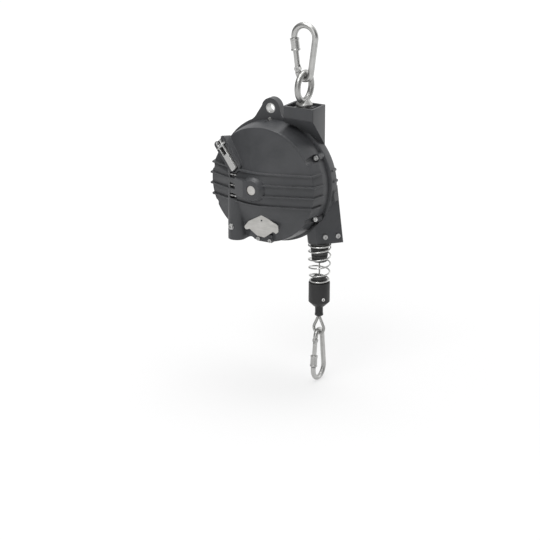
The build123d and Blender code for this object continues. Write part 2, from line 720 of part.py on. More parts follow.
eye_radius = thimble_radius - thimble_wall / 2
eye_low = clamp_low - thimble_height
eye_z = eye_low + thimble_radius
apex = clamp_low + 3 - eye_z
lean = math.asin(eye_radius / apex)
with BuildPart() as thimble:
    with BuildLine(rope_section) as teardrop:
        right = (eye_radius * math.cos(lean), eye_z + eye_radius * math.sin(lean))
        left = (-right[0], right[1])
        side_line = Line((0, eye_z + apex), right)
        bow = ThreePointArc(right, (0, eye_z - eye_radius), left)
        Line(left, (0, eye_z + apex))
    start = teardrop.line @ 0
    with BuildSketch(Plane(origin=start, x_dir=(0, 1, 0), z_dir=teardrop.line % 0)) as strand:
        Ellipse(thimble_thickness / 2, thimble_wall / 2)
    sweep(strand.sketch, path=teardrop.line, transition=Transition.RIGHT)
    with BuildSketch(at_height(clamp_low)) as above:
        with Locations((rope_x, rope_depth)):
            Rectangle(60, 30)
    extrude(above.sketch, amount=30, mode=Mode.SUBTRACT)
hand_over(thimble, "thimble")


# Snap hooks share one form, drawn with the big bow at the top and the gate to the right
def hook_shape(wire, length, big, small, nose):
    reach = length - wire - big - small
    lean = math.asin((big - small) / reach)
    across, down = math.cos(lean), math.sin(lean)
    low = (small * across, -reach - small * down)
    along = (down, across)
    high = (big * across, -big * down)
    hinge = (low[0] + 6 * along[0], low[1] + 6 * along[1])
    nose_end = (high[0] - nose * along[0], high[1] - nose * along[1])
    return reach, across, down, low, high, along, hinge, nose_end


def hook_frame(plane, wire, length, big, small, nose):
    reach, across, down, low, high, along, hinge, nose_end = hook_shape(wire, length, big, small, nose)
    gap = wire / 2 + 0.6
    start = (hinge[0] - gap * along[0], hinge[1] - gap * along[1])
    angle = math.asin(down) - max(-nose, 0) / big
    arc_end = (big * math.cos(angle), -big * math.sin(angle))
    with BuildLine(plane) as path:
        Line(start, low)
        ThreePointArc(low, (0, -reach - small), (-low[0], low[1]))
        Line((-low[0], low[1]), (-high[0], high[1]))
        ThreePointArc((-high[0], high[1]), (0, big), high if nose > 0 else arc_end)
        if nose > 0:
            Line(high, nose_end)
    with BuildSketch(Plane(origin=path.line @ 0, z_dir=path.line % 0)) as section:
        Circle(wire / 2)
    sweep(section.sketch, path=path.line)
    # Tongue for the gate's pin
    tongue = 0.42 * wire
    turned_plane = Plane(origin=plane.from_local_coords(Vector(hinge[0], hinge[1], 0)), x_dir=plane.x_dir, z_dir=plane.z_dir)
    with BuildSketch(turned_plane.offset(-tongue / 2)) as lug:
        Circle(0.42 * wire)
        with Locations(Location((-along[0] * (gap / 2 + 0.5), -along[1] * (gap / 2 + 0.5), 0),
                                (0, 0, 1), -math.degrees(math.atan2(along[0], along[1])))):
            Rectangle(0.84 * wire, gap + 1)
        Circle(1.5, mode=Mode.SUBTRACT)
    extrude(lug.sketch, amount=tongue)


def hook_gate(plane, wire, length, big, small, nose):
    reach, across, down, low, high, along, hinge, nose_end = hook_shape(wire, length, big, small, nose)
    long = math.dist(hinge, nose_end) - 0.4
    origin = plane.from_local_coords(Vector(hinge[0], hinge[1], 0))
    ahead = (plane.x_dir * along[0] + plane.y_dir * along[1]).normalized()
    stem = Plane(origin=origin, x_dir=plane.z_dir, z_dir=ahead)
    cheek = Plane(origin=origin, x_dir=ahead, z_dir=plane.z_dir)
    rod(stem, 0.45 * wire, long)
    rod(cheek.offset(-0.45 * wire), 0.45 * wire, 0.9 * wire)
    with BuildSketch(cheek.offset(-0.21 * wire - 0.2)) as slot:
        Rectangle(wire + 3, 2 * wire)
    extrude(slot.sketch, amount=0.42 * wire + 0.4, mode=Mode.SUBTRACT)
    rod(cheek.offset(-wire), 1.5, 2 * wire, mode=Mode.SUBTRACT)


def hook_sleeve_at(plane, wire, length, big, small, nose, sleeve):
    reach, across, down, low, high, along, hinge, nose_end = hook_shape(wire, length, big, small, nose)
    top = math.dist(hinge, nose_end) - 1.3
    origin = plane.from_local_coords(Vector(hinge[0], hinge[1], 0))
    ahead = (plane.x_dir * along[0] + plane.y_dir * along[1]).normalized()
    section = Plane(origin=origin, x_dir=plane.z_dir, z_dir=plane.z_dir.cross(ahead))
    bore = 0.45 * wire + 0.1
    turn(section, Axis(origin, ahead), [
        (bore, top - sleeve), (0.76 * wire, top - sleeve, 0.5), (0.76 * wire, top - sleeve + 2.5, 0.4),
        (0.7 * wire, top - sleeve + 3.2, 0.4), (0.7 * wire, top - 3.2, 0.4), (0.76 * wire, top - 2.5, 0.4),
        (0.76 * wire, top, 0.5), (wire / 2 + 0.3, top), (wire / 2 + 0.3, top - 6), (bore, top - 6),
    ])


def hook_pin(plane, wire, length, big, small, nose):
    hinge = hook_shape(wire, length, big, small, nose)[6]
    place = Plane(origin=plane.from_local_coords(Vector(hinge[0], hinge[1], 0)), x_dir=plane.x_dir, z_dir=plane.z_dir)
    rod(place.offset(-0.5 * wire), 1.45, wire)


top_plane = Plane(origin=(0, 0, -hook_big_radius + ring_r), x_dir=(-1, 0, 0), z_dir=(0, 1, 0))
top_sizes = (hook_wire, hook_length, hook_big_radius, hook_small_radius, hook_nose)
load_bow = eye_low + thimble_wall + seat_gap + load_wire / 2
load_reach = load_length - load_wire - load_big_radius - load_small_radius
load_plane = Plane(
    origin=centre + Vector(rope_x, rope_depth, load_bow - load_small_radius - load_reach), x_dir=(0, -1, 0), z_dir=(1, 0, 0)
)
load_sizes = (load_wire, load_length, load_big_radius, load_small_radius, load_nose)

with BuildPart() as top_hook:
    hook_frame(top_plane, *top_sizes)
hand_over(top_hook, "top_hook")

with BuildPart() as top_gate:
    hook_gate(top_plane, *top_sizes)
hand_over(top_gate, "top_gate")

with BuildPart() as top_sleeve:
    hook_sleeve_at(top_plane, *top_sizes, hook_sleeve)
hand_over(top_sleeve, "top_sleeve")

with BuildPart() as top_gate_pin:
    hook_pin(top_plane, *top_sizes)
hand_over(top_gate_pin, "top_gate_pin")

with BuildPart() as load_hook:
    hook_frame(load_plane, *load_sizes)
hand_over(load_hook, "load_hook")

with BuildPart() as load_gate:
    hook_gate(load_plane, *load_sizes)
hand_over(load_gate, "load_gate")

with BuildPart() as load_sleeve_ring:
    hook_sleeve_at(load_plane, *load_sizes, load_sleeve)
hand_over(load_sleeve_ring, "load_sleeve")

with BuildPart() as load_gate_pin:
    hook_pin(load_plane, *load_sizes)
hand_over(load_gate_pin, "load_gate_pin")

# Swivel eye: ring, collar and stem in one forging, a washer under it and a nut below
stem_low = bridge_z - bridge_height - seat_gap - nut_height - 1.5
with BuildPart() as swivel_eye:
    with BuildSketch(Plane(origin=(0, 0, ring_z + ring_radius), x_dir=(1, 0, 0), z_dir=(0, 1, 0))) as ring_section:
        Circle(ring_r)
    revolve(ring_section.sketch, axis=Axis((0, 0, ring_z), (1, 0, 0)))
    turn(Plane.XZ, Axis.Z, [
        (0, collar_z), (collar_radius, collar_z, 1), (collar_radius, collar_z + 4, 2),
        (7.0, collar_z + collar_height + 3, 3), (0, collar_z + collar_height + 3),
    ])
    rod(Plane.XY.offset(stem_low), stem_radius, collar_z - stem_low)
hand_over(swivel_eye, "swivel_eye")

with BuildPart() as swivel_nut:
    with BuildSketch(Plane.XY.offset(bridge_z - bridge_height - seat_gap)) as hexagon:
        RegularPolygon(nut_flats / 2, 6, major_radius=False)
        Circle(stem_radius + run_clearance, mode=Mode.SUBTRACT)
    extrude(hexagon.sketch, amount=-nut_height)
hand_over(swivel_nut, "swivel_nut")

with BuildPart() as thrust_washer:
    ring(Plane.XY.offset(bridge_z), collar_radius - 0.5, stem_radius + 0.2, washer_thickness)
hand_over(thrust_washer, "thrust_washer")

# Lock lever on its pin, with the plunger that it pushes into the spring cover
lever_start = -lever_overhang
lever_end = lever_length - lever_overhang
lever_half = lever_width / 2
with BuildPart() as lock_lever:
    block(lever_plane.offset(-lever_height / 2), [
        (lever_start, -lever_half, 3), (lever_end, -lever_half, 2), (lever_end, lever_half, 2), (lever_start, lever_half, 3),
    ], lever_height)
    slot_half = lever_half - lever_sheet
    block(lever_plane.offset(-lever_height / 2), [
        (lever_start - 5, -slot_half), (18, -slot_half), (18, slot_half), (lever_start - 5, slot_half),
    ], lever_height, mode=Mode.SUBTRACT)
    block(lever_plane.offset(-lever_height / 2), [
        (17, -slot_half), (lever_end - lever_sheet, -slot_half), (lever_end - lever_sheet, slot_half), (17, slot_half),
    ], lever_height - lever_sheet, mode=Mode.SUBTRACT)
    rod(lever_across.offset(-20), lever_pin_radius + run_clearance, 40, mode=Mode.SUBTRACT)
hand_over(lock_lever, "lock_lever")

with BuildPart() as lever_pin:
    rod(lever_across.offset(-ear_inner - 4), lever_pin_radius - run_clearance, 2 * ear_inner + 8)
hand_over(lever_pin, "lever_pin")

with BuildPart() as lever_roller:
    ring(lever_across.offset(-slot_half + 0.3), lever_pin_radius + 1.4, lever_pin_radius + run_clearance, 2 * slot_half - 0.6)
hand_over(lever_roller, "lever_roller")

plunger_front = plunger_point.Y + (lever_height / 2 + seat_gap) / math.cos(tilt) + plunger_radius * math.tan(tilt)
plunger_back = chamber_front - lid_thickness - 1.0
with BuildPart() as lock_plunger:
    rod(at_depth(plunger_back), plunger_radius, plunger_back - plunger_front, places=[plunger_place])
hand_over(lock_plunger, "lock_plunger")
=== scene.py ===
import math

import bmesh
import bpy
from mathutils import Matrix, Vector


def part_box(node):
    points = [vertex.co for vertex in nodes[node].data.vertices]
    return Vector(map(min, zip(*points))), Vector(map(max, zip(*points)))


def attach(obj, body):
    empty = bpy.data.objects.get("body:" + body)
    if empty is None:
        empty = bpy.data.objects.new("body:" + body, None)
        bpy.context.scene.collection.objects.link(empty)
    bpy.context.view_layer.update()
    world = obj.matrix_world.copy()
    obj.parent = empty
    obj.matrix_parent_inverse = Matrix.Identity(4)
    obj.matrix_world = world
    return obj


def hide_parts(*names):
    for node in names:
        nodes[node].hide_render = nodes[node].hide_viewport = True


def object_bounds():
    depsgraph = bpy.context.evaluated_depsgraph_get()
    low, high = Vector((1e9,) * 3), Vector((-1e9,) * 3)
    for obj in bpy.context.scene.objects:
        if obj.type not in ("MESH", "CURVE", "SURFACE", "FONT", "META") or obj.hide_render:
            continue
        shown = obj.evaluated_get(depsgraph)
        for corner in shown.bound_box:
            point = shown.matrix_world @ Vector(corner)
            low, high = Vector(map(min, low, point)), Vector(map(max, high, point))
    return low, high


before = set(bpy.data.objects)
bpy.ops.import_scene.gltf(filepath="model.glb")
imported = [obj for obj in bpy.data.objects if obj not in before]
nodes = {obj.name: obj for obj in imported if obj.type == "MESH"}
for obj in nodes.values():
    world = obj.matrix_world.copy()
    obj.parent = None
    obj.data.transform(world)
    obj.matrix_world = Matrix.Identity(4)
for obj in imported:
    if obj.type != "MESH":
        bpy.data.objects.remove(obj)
cadLow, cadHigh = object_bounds()
scene = bpy.context.scene
print("frame loaded:", len(nodes), "nodes")

view = {
    "target": Vector((-0.0545, -0.0390, -0.2555)),  # drum centre at the cover's rim
    "azimuth": 30.4,
    "elevation": 16.4,
    "distance": 3.029,
    "lens": 124.67,
    "sensor": 36.0,
    "targetPixel": (262.6, 185.0),  # where the drum centre shows in the 540 x 540 picture
    "picture": 540.0,
    "clip": (0.05, 50.0),
}


def aimCamera():
    azimuth, elevation = math.radians(view["azimuth"]), math.radians(view["elevation"])
    level = math.cos(elevation)
    back = Vector((math.sin(azimuth) * level, -math.cos(azimuth) * level, math.sin(elevation)))
    right = Vector((math.cos(azimuth), math.sin(azimuth), 0.0))
    up = back.cross(right)
    focal = view["lens"] / view["sensor"] * view["picture"]
    across = (view["picture"] / 2 - view["targetPixel"][0]) / focal
    down = (view["picture"] / 2 - view["targetPixel"][1]) / focal
    look = (right * across - up * down - back).normalized()
    eyeBack = -look
    eyeRight = up.cross(eyeBack).normalized()
    eyeUp = eyeBack.cross(eyeRight)
    data = bpy.data.cameras.new("studioCamera")
    data.lens = view["lens"]
    data.sensor_width = view["sensor"]
    data.clip_start, data.clip_end = view["clip"]
    camera = bpy.data.objects.new("studioCamera", data)
    scene.collection.objects.link(camera)
    turn = Matrix((eyeRight, eyeUp, eyeBack)).transposed()
    camera.matrix_world = Matrix.Translation(view["target"] + back * view["distance"]) @ turn.to_4x4()
    scene.camera = camera


aimCamera()
scene.view_settings.view_transform = "Standard"
print("camera placed")


# Small helpers for building node trees
def newFinish(name):
    material = bpy.data.materials.new(name)
    material.use_nodes = True
    tree = material.node_tree
    return material, tree, tree.nodes["Principled BSDF"]


def addNode(tree, kind, inputs=(), **settings):
    node = tree.nodes.new(kind)
    for key, value in settings.items():
        setattr(node, key, value)
    for key, value in dict(inputs).items():
        node.inputs[key].default_value = value
    return node


def noiseAt(tree, place, scale, detail=3.0, roughness=0.55, stretch=None):
    # Noise in the part's own metres; stretch lengthens the grain along an axis
    numbers = {"Scale": scale, "Detail": detail, "Roughness": roughness}
    noise = addNode(tree, "ShaderNodeTexNoise", numbers)
    if stretch:
        mapping = addNode(tree, "ShaderNodeMapping", {"Scale": stretch})
        tree.links.new(place, mapping.inputs["Vector"])
        place = mapping.outputs["Vector"]
    tree.links.new(place, noise.inputs["Vector"])
    return noise.outputs["Fac"]


def rampOf(tree, source, low, high, start=0.0, end=1.0):
    numbers = {"From Min": low, "From Max": high, "To Min": start, "To Max": end}
    ramp = addNode(tree, "ShaderNodeMapRange", numbers)
    tree.links.new(source, ramp.inputs["Value"])
    return ramp.outputs["Result"]


def mathOf(tree, operation, first, second):
    node = addNode(tree, "ShaderNodeMath", operation=operation)
    for index, value in enumerate((first, second)):
        if isinstance(value, (int, float)):
            node.inputs[index].default_value = value
        else:
            tree.links.new(value, node.inputs[index])
    return node.outputs["Value"]


def blendColours(tree, factor, first, second):
    node = addNode(tree, "ShaderNodeMix", data_type="RGBA")
    tree.links.new(factor, node.inputs["Factor"])
    for name, value in (("A", first), ("B", second)):
        socket = [s for s in node.inputs if s.name == name and s.type == "RGBA"][0]
        if isinstance(value, (tuple, list)):
            socket.default_value = (*value, 1.0) if len(value) == 3 else value
        else:
            tree.links.new(value, socket)
    return [s for s in node.outputs if s.type == "RGBA"][0]


def bumpChain(tree, layers, normal=None):
    # Each layer is (height, depth in metres, strength)
    for height, depth, strength in layers:
        bump = addNode(tree, "ShaderNodeBump", {"Strength": strength, "Distance": depth})
        tree.links.new(height, bump.inputs["Height"])
        if normal:
            tree.links.new(normal, bump.inputs["Normal"])
        normal = bump.outputs["Normal"]
    return normal


def softEdges(tree, radius):
    # Rounded normal near an edge, and a mask that is 1 right on the edge
    bevel = addNode(tree, "ShaderNodeBevel", {"Radius": radius}, samples=6)
    geometry = addNode(tree, "ShaderNodeNewGeometry")
    dot = addNode(tree, "ShaderNodeVectorMath", operation="DOT_PRODUCT")
    tree.links.new(bevel.outputs["Normal"], dot.inputs[0])
    tree.links.new(geometry.outputs["Normal"], dot.inputs[1])
    return bevel.outputs["Normal"], rampOf(tree, dot.outputs["Value"], 0.99, 0.72)


def placeIn(tree):
    return addNode(tree, "ShaderNodeTexCoord").outputs["Object"]


paintSkin = {
    "cloudScale": 38.0,
    "waveScale": 120.0,
    "edgePatchScale": 260.0,
    "speckScale": 4200.0,
    "wearAndHighlight": 0.55,
    "waveDepth": 0.0004,
    "peelDepth": 0.00009,
    "speckDepth": 0.00003,
    "specular": 0.30,
}
castPaint = {
    "colour": (0.052, 0.054, 0.057),
    "pale": (0.064, 0.065, 0.069),
    # edge colour: rubbed paint, and a painted highlight along the rims
    "wornAndHighlight": (0.15, 0.15, 0.15),
    "roughness": (0.30, 0.44),
    "peelScale": 900.0,
    "edge": 0.0011,
}


def makePaint(name, sizes):
    # Powder coat on a casting: orange peel, soft cloudiness, and lighter edges that are partly rubbed paint
    # and partly a painted highlight
    material, tree, shader = newFinish(name)
    place = placeIn(tree)
    cloud = noiseAt(tree, place, paintSkin["cloudScale"], 4.0)
    peel = noiseAt(tree, place, sizes["peelScale"], 2.0)
    speck = noiseAt(tree, place, paintSkin["speckScale"], 1.0)
    waviness = noiseAt(tree, place, paintSkin["waveScale"], 2.0)
    normal, edge = softEdges(tree, sizes["edge"])
    patches = rampOf(tree, noiseAt(tree, place, paintSkin["edgePatchScale"], 4.0), 0.42, 0.62)
    # The edge mask, broken into patches, lightens the coat: partly rubbed paint, partly a painted highlight
    # on rims and ridges
    rubbed = mathOf(tree, "MULTIPLY", edge, patches)
    coat = blendColours(tree, rampOf(tree, cloud, 0.3, 0.7), sizes["colour"], sizes["pale"])
    coat = blendColours(tree, mathOf(tree, "MULTIPLY", rubbed, paintSkin["wearAndHighlight"]), coat, sizes["wornAndHighlight"])
    tree.links.new(coat, shader.inputs["Base Color"])
    mottle = mathOf(tree, "ADD", mathOf(tree, "MULTIPLY", cloud, 0.6), mathOf(tree, "MULTIPLY", speck, 0.4))
    tree.links.new(rampOf(tree, mottle, 0.35, 0.65, *sizes["roughness"]), shader.inputs["Roughness"])
    shader.inputs["Specular IOR Level"].default_value = paintSkin["specular"]
    layers = [
        (waviness, paintSkin["waveDepth"], 0.10),
        (peel, paintSkin["peelDepth"], 0.32),
        (speck, paintSkin["speckDepth"], 0.25),
    ]
    tree.links.new(bumpChain(tree, layers, normal), shader.inputs["Normal"])
    return material


castFinish = makePaint("castPaint", castPaint)
cupPaint = {
    "colour": (0.024, 0.024, 0.025),
    "pale": (0.032, 0.032, 0.032),
    "wornAndHighlight": (0.16, 0.16, 0.155),
    "roughness": (0.38, 0.58),
    "peelScale": 1500.0,
    "edge": 0.0008,
}
cupFinish = makePaint("cupPaint", cupPaint)


metalSkin = {"stainScale": 70.0, "pitScale": 1400.0, "pitDepth": 0.00002, "streaks": 0.35, "edgeShine": 0.4}


def makeMetal(name, sizes):
    # Bare or plated metal: drawn or ground grain, stains, handling marks and brighter edges
    material, tree, shader = newFinish(name)
    place = placeIn(tree)
    grain = noiseAt(tree, place, sizes["grainScale"], 3.0, stretch=sizes.get("grain"))
    stain = noiseAt(tree, place, metalSkin["stainScale"], 5.0, 0.6)
    pits = noiseAt(tree, place, metalSkin["pitScale"], 2.0)
    normal, edge = softEdges(tree, sizes["edge"])
    body = blendColours(tree, rampOf(tree, stain, 0.35, 0.7), sizes["colour"], sizes["dull"])
    streaks = mathOf(tree, "MULTIPLY", rampOf(tree, grain, 0.4, 0.62), metalSkin["streaks"])
    body = blendColours(tree, streaks, body, sizes["streak"])
    body = blendColours(tree, mathOf(tree, "MULTIPLY", edge, metalSkin["edgeShine"]), body, sizes["bright"])
    tree.links.new(body, shader.inputs["Base Color"])
    shader.inputs["Metallic"].default_value = 1.0
    mottle = mathOf(tree, "ADD", mathOf(tree, "MULTIPLY", stain, 0.5), mathOf(tree, "MULTIPLY", grain, 0.5))
    tree.links.new(rampOf(tree, mottle, 0.35, 0.65, *sizes["roughness"]), shader.inputs["Roughness"])
    layers = [(grain, sizes["grainDepth"], 0.35), (pits, metalSkin["pitDepth"], 0.25)]
    tree.links.new(bumpChain(tree, layers, normal), shader.inputs["Normal"])
    return material


hookZinc = {
    "colour": (0.50, 0.50, 0.49),
    "dull": (0.42, 0.42, 0.41),
    "streak": (0.33, 0.33, 0.32),
    "bright": (0.68, 0.68, 0.67),
    "roughness": (0.26, 0.42),
    "grainScale": 420.0,
    "grain": (1.0, 1.0, 0.16),
    "grainDepth": 0.00005,
    "edge": 0.0006,
}
hookFinish = makeMetal("zincPlatedHook", hookZinc)
forgedEye = {
    "colour": (0.44, 0.44, 0.43),
    "dull": (0.34, 0.34, 0.33),
    "streak": (0.28, 0.28, 0.27),
    "bright": (0.62, 0.62, 0.61),
    "roughness": (0.30, 0.50),
    "grainScale": 300.0,
    "grainDepth": 0.00008,
    "edge": 0.0008,
}
eyeFinish = makeMetal("forgedEye", forgedEye)
sheetPlate = {
    "colour": (0.56, 0.55, 0.53),
    "dull": (0.49, 0.48, 0.46),
    "streak": (0.40, 0.40, 0.38),
    "bright": (0.75, 0.74, 0.72),
    "roughness": (0.38, 0.55),
    "grainScale": 520.0,
    "grain": (0.06, 1.0, 1.0),
    "grainDepth": 0.00004,
    "edge": 0.0005,
}
plateFinish = makeMetal("rolledSheetPlate", sheetPlate)
leverSheet = {
    "colour": (0.72, 0.72, 0.71),
    "dull": (0.62, 0.62, 0.61),
    "streak": (0.52, 0.52, 0.51),
    "bright": (0.90, 0.90, 0.88),
    "roughness": (0.36, 0.52),
    "grainScale": 600.0,
    "grain": (0.3, 1.0, 0.3),
    "grainDepth": 0.00004,
    "edge": 0.0005,
}
leverFinish = makeMetal("leverSheetSteel", leverSheet)
screwZinc = {
    "colour": (0.50, 0.50, 0.50),
    "dull": (0.38, 0.38, 0.37),
    "streak": (0.30, 0.30, 0.29),
    "bright": (0.75, 0.75, 0.74),
    "roughness": (0.25, 0.42),
    "grainScale": 900.0,
    "grainDepth": 0.00003,
    "edge": 0.0004,
}
screwFinish = makeMetal("screwZinc", screwZinc)
brightZinc = {
    "colour": (0.84, 0.84, 0.83),
    "dull": (0.72, 0.72, 0.71),
    "streak": (0.60, 0.60, 0.59),
    "bright": (0.94, 0.94, 0.93),
    "roughness": (0.32, 0.48),
    "grainScale": 900.0,
    "grainDepth": 0.00003,
    "edge": 0.0004,
}
brightFinish = makeMetal("brightZinc", brightZinc)
springWire = {
    "colour": (0.62, 0.62, 0.61),
    "dull": (0.50, 0.50, 0.49),
    "streak": (0.36, 0.36, 0.35),
    "bright": (0.85, 0.85, 0.84),
    "roughness": (0.18, 0.32),
    "grainScale": 900.0,
    "grainDepth": 0.00002,
    "edge": 0.0003,
}
springFinish = makeMetal("springWire", springWire)
ropeSteel = {
    "colour": (0.36, 0.36, 0.35),
    "dull": (0.26, 0.26, 0.25),
    "streak": (0.18, 0.18, 0.17),
    "bright": (0.55, 0.55, 0.54),
    "roughness": (0.30, 0.48),
    "grainScale": 2400.0,
    "grainDepth": 0.00004,
    "edge": 0.0002,
}
ropeFinish = makeMetal("ropeWires", ropeSteel)
loopSteel = {
    "colour": (0.44, 0.44, 0.43),
    "dull": (0.36, 0.36, 0.35),
    "streak": (0.26, 0.26, 0.25),
    "bright": (0.62, 0.62, 0.61),
    "roughness": (0.30, 0.46),
    "grainScale": 1800.0,
    "grainDepth": 0.00005,
    "edge": 0.0003,
}
loopFinish = makeMetal("loopWires", loopSteel)
bronzeBush = {
    "colour": (0.45, 0.29, 0.13),
    "dull": (0.30, 0.19, 0.09),
    "streak": (0.22, 0.14, 0.07),
    "bright": (0.62, 0.44, 0.22),
    "roughness": (0.28, 0.45),
    "grainScale": 700.0,
    "grainDepth": 0.00004,
    "edge": 0.0005,
}
bushFinish = makeMetal("bronzeBush", bronzeBush)
drumAlloy = {
    "colour": (0.55, 0.55, 0.56),
    "dull": (0.45, 0.45, 0.46),
    "streak": (0.38, 0.38, 0.38),
    "bright": (0.74, 0.74, 0.75),
    "roughness": (0.32, 0.50),
    "grainScale": 420.0,
    "grainDepth": 0.00007,
    "edge": 0.0008,
}
drumFinish = makeMetal("drumAlloy", drumAlloy)
turnedSteel = {
    "colour": (0.46, 0.46, 0.46),
    "dull": (0.36, 0.36, 0.36),
    "streak": (0.26, 0.26, 0.26),
    "bright": (0.68, 0.68, 0.68),
    "roughness": (0.22, 0.40),
    "grainScale": 800.0,
    "grain": (1.0, 0.2, 1.0),
    "grainDepth": 0.00004,
    "edge": 0.0006,
}
steelFinish = makeMetal("turnedSteel", turnedSteel)
blueSpring = {
    "colour": (0.20, 0.21, 0.23),
    "dull": (0.13, 0.13, 0.15),
    "streak": (0.09, 0.09, 0.10),
    "bright": (0.40, 0.41, 0.43),
    "roughness": (0.25, 0.42),
    "grainScale": 800.0,
    "grain": (1.0, 0.1, 1.0),
    "grainDepth": 0.00003,
    "edge": 0.0003,
}
blueFinish = makeMetal("bluedSpringStrip", blueSpring)
shaftCap = {
    "colour": (0.58, 0.57, 0.55),
    "dull": (0.50, 0.49, 0.47),
    "streak": (0.44, 0.43, 0.41),
    "bright": (0.78, 0.77, 0.75),
    "roughness": (0.34, 0.48),
    "grainScale": 800.0,
    "grainDepth": 0.00004,
    "edge": 0.0006,
}
capFinish = makeMetal("shaftEnd", shaftCap)


softSkin = {
    "swirlScale": 90.0,
    "swirlDepth": 0.0002,
    "skinScale": 1800.0,
    "skinDepth": 0.00006,
    "edge": 0.0006,
}


def makeSoftGoods(name, sizes):
    # Rubber or nylon: fine skin, moulding swirl and a little dust in patches along the swirl
    material, tree, shader = newFinish(name)
    place = placeIn(tree)
    swirl = noiseAt(tree, place, softSkin["swirlScale"], 4.0)
    skin = noiseAt(tree, place, softSkin["skinScale"], 3.0)
    normal, edge = softEdges(tree, softSkin["edge"])
    body = blendColours(tree, rampOf(tree, swirl, 0.3, 0.7), sizes["colour"], sizes["dusty"])
    body = blendColours(tree, mathOf(tree, "MULTIPLY", edge, 0.5), body, sizes["rubbed"])
    tree.links.new(body, shader.inputs["Base Color"])
    tree.links.new(rampOf(tree, swirl, 0.3, 0.7, *sizes["roughness"]), shader.inputs["Roughness"])
    layers = [(skin, softSkin["skinDepth"], 0.4), (swirl, softSkin["swirlDepth"], 0.1)]
    tree.links.new(bumpChain(tree, layers, normal), shader.inputs["Normal"])
    return material


bufferRubber = {
    "colour": (0.030, 0.030, 0.031),
    "dusty": (0.045, 0.045, 0.044),
    "rubbed": (0.09, 0.09, 0.088),
    "roughness": (0.55, 0.75),
}
rubberFinish = makeSoftGoods("bufferRubber", bufferRubber)
guideNylon = {
    "colour": (0.55, 0.53, 0.47),
    "dusty": (0.46, 0.44, 0.39),
    "rubbed": (0.66, 0.64, 0.58),
    "roughness": (0.35, 0.50),
}
nylonFinish = makeSoftGoods("guideNylon", guideNylon)

finishes = {
    "main_housing": castFinish, "front_cover": castFinish, "access_plate": plateFinish,
    "front_bearing": bushFinish, "rear_bearing": bushFinish, "lug_bush": screwFinish,
    "worm_bushes": bushFinish, "plunger_guide": bushFinish, "cover_screws": brightFinish,
    "outlet_screws": screwFinish, "lug_screw": screwFinish, "latch_bolts": screwFinish,
    "column_bolt": screwFinish, "lock_studs": screwFinish, "rope_guide": nylonFinish,
    "buffer": rubberFinish, "buffer_spring": springFinish, "arbor_shaft": capFinish,
    "worm_wheel": bushFinish, "worm": steelFinish, "rope_drum": drumFinish,
    "drum_bearings": steelFinish, "spring_cover": steelFinish, "mainspring": blueFinish,
    "wound_rope": ropeFinish, "rope_run": ropeFinish, "rope_clamp": cupFinish,
    "clamp_screws": screwFinish, "cup_plug": rubberFinish, "thimble": hookFinish,
    "top_hook": hookFinish, "top_gate": hookFinish, "top_sleeve": hookFinish,
    "top_gate_pin": steelFinish, "load_hook": hookFinish, "load_gate": hookFinish,
    "load_sleeve": hookFinish, "load_gate_pin": steelFinish, "swivel_eye": eyeFinish,
    "swivel_nut": screwFinish, "thrust_washer": steelFinish, "lock_lever": leverFinish,
    "lever_pin": steelFinish, "lever_roller": steelFinish, "lock_plunger": steelFinish,
}
for name, node in nodes.items():
    node.data.materials.clear()
    node.data.materials.append(finishes[name])
print("finishes assigned:", len(finishes))

# Millimetres from the drum's centre: x right, y back, z up; the forms below are drawn from here
drumCentre = Vector((-54.5, -39.0, -255.5))


# A plane is (origin, across, upward, outward), and sections are drawn on it in millimetres
def planeOf(origin, across, outward):
    across, outward = Vector(across).normalized(), Vector(outward).normalized()
    return Vector(origin), across, outward.cross(across), outward


def frontAt(depth):
    return planeOf((0, depth, 0), (1, 0, 0), (0, -1, 0))


def levelAt(height):
    return planeOf((0, 0, height), (1, 0, 0), (0, 0, 1))


def offsetPlane(plane, distance):
    return plane[0] + plane[3] * distance, plane[1], plane[2], plane[3]


def roundedPath(points, steps=5):
    # Corners given as (x, y, radius) become arcs
    path = []
    for index, point in enumerate(points):
        here = Vector(point[:2])
        if len(point) < 3 or not point[2]:
            path.append(here)
            continue
        before = (Vector(points[index - 1][:2]) - here).normalized()
        after = (Vector(points[(index + 1) % len(points)][:2]) - here).normalized()
        half = before.angle(after) / 2
        reach = point[2] / math.tan(half)
        middle = here + (before + after).normalized() * (point[2] / math.sin(half))
        start, end = here + before * reach - middle, here + after * reach - middle
        sweep = start.angle_signed(end)
        for step in range(steps + 1):
            path.append(middle + Matrix.Rotation(-sweep * step / steps, 2) @ start)
    return path


def meshOf(name, points, faces):
    mesh = bpy.data.meshes.new(name)
    mesh.from_pydata([(drumCentre + point) / 1000 for point in points], [], faces)
    build = bmesh.new()
    build.from_mesh(mesh)
    bmesh.ops.remove_doubles(build, verts=build.verts, dist=1e-7)
    bmesh.ops.recalc_face_normals(build, faces=build.faces)
    build.to_mesh(mesh)
    build.free()
    piece = bpy.data.objects.new(name, mesh)
    scene.collection.objects.link(piece)
    return piece


def loftOf(plane, low, high, length):
    # A closed solid between two sections with as many points each
    origin, across, upward, outward = plane
    count = len(low)
    points = [origin + across * p[0] + upward * p[1] for p in low]
    points += [origin + outward * length + across * p[0] + upward * p[1] for p in high]
    faces = [list(range(count))[::-1], list(range(count, 2 * count))]
    faces += [[i, (i + 1) % count, (i + 1) % count + count, i + count] for i in range(count)]
    return meshOf("solid", points, faces)


def blockOf(plane, points, length):
    path = roundedPath(points)
    return loftOf(plane, path, path, length)


def slabOf(plane, left, low, right, high, length, corner=0):
    sides = ((left, low), (right, low), (right, high), (left, high))
    return blockOf(plane, [(*side, corner) for side in sides], length)


def rodOf(plane, radius, length, place=(0.0, 0.0), endRadius=None, sides=48):
    turns = [2 * math.pi * i / sides for i in range(sides)]
    ring = [(math.cos(turn), math.sin(turn)) for turn in turns]
    low = [(place[0] + radius * x, place[1] + radius * y) for x, y in ring]
    end = radius if endRadius is None else endRadius
    return loftOf(plane, low, [(place[0] + end * x, place[1] + end * y) for x, y in ring], length)


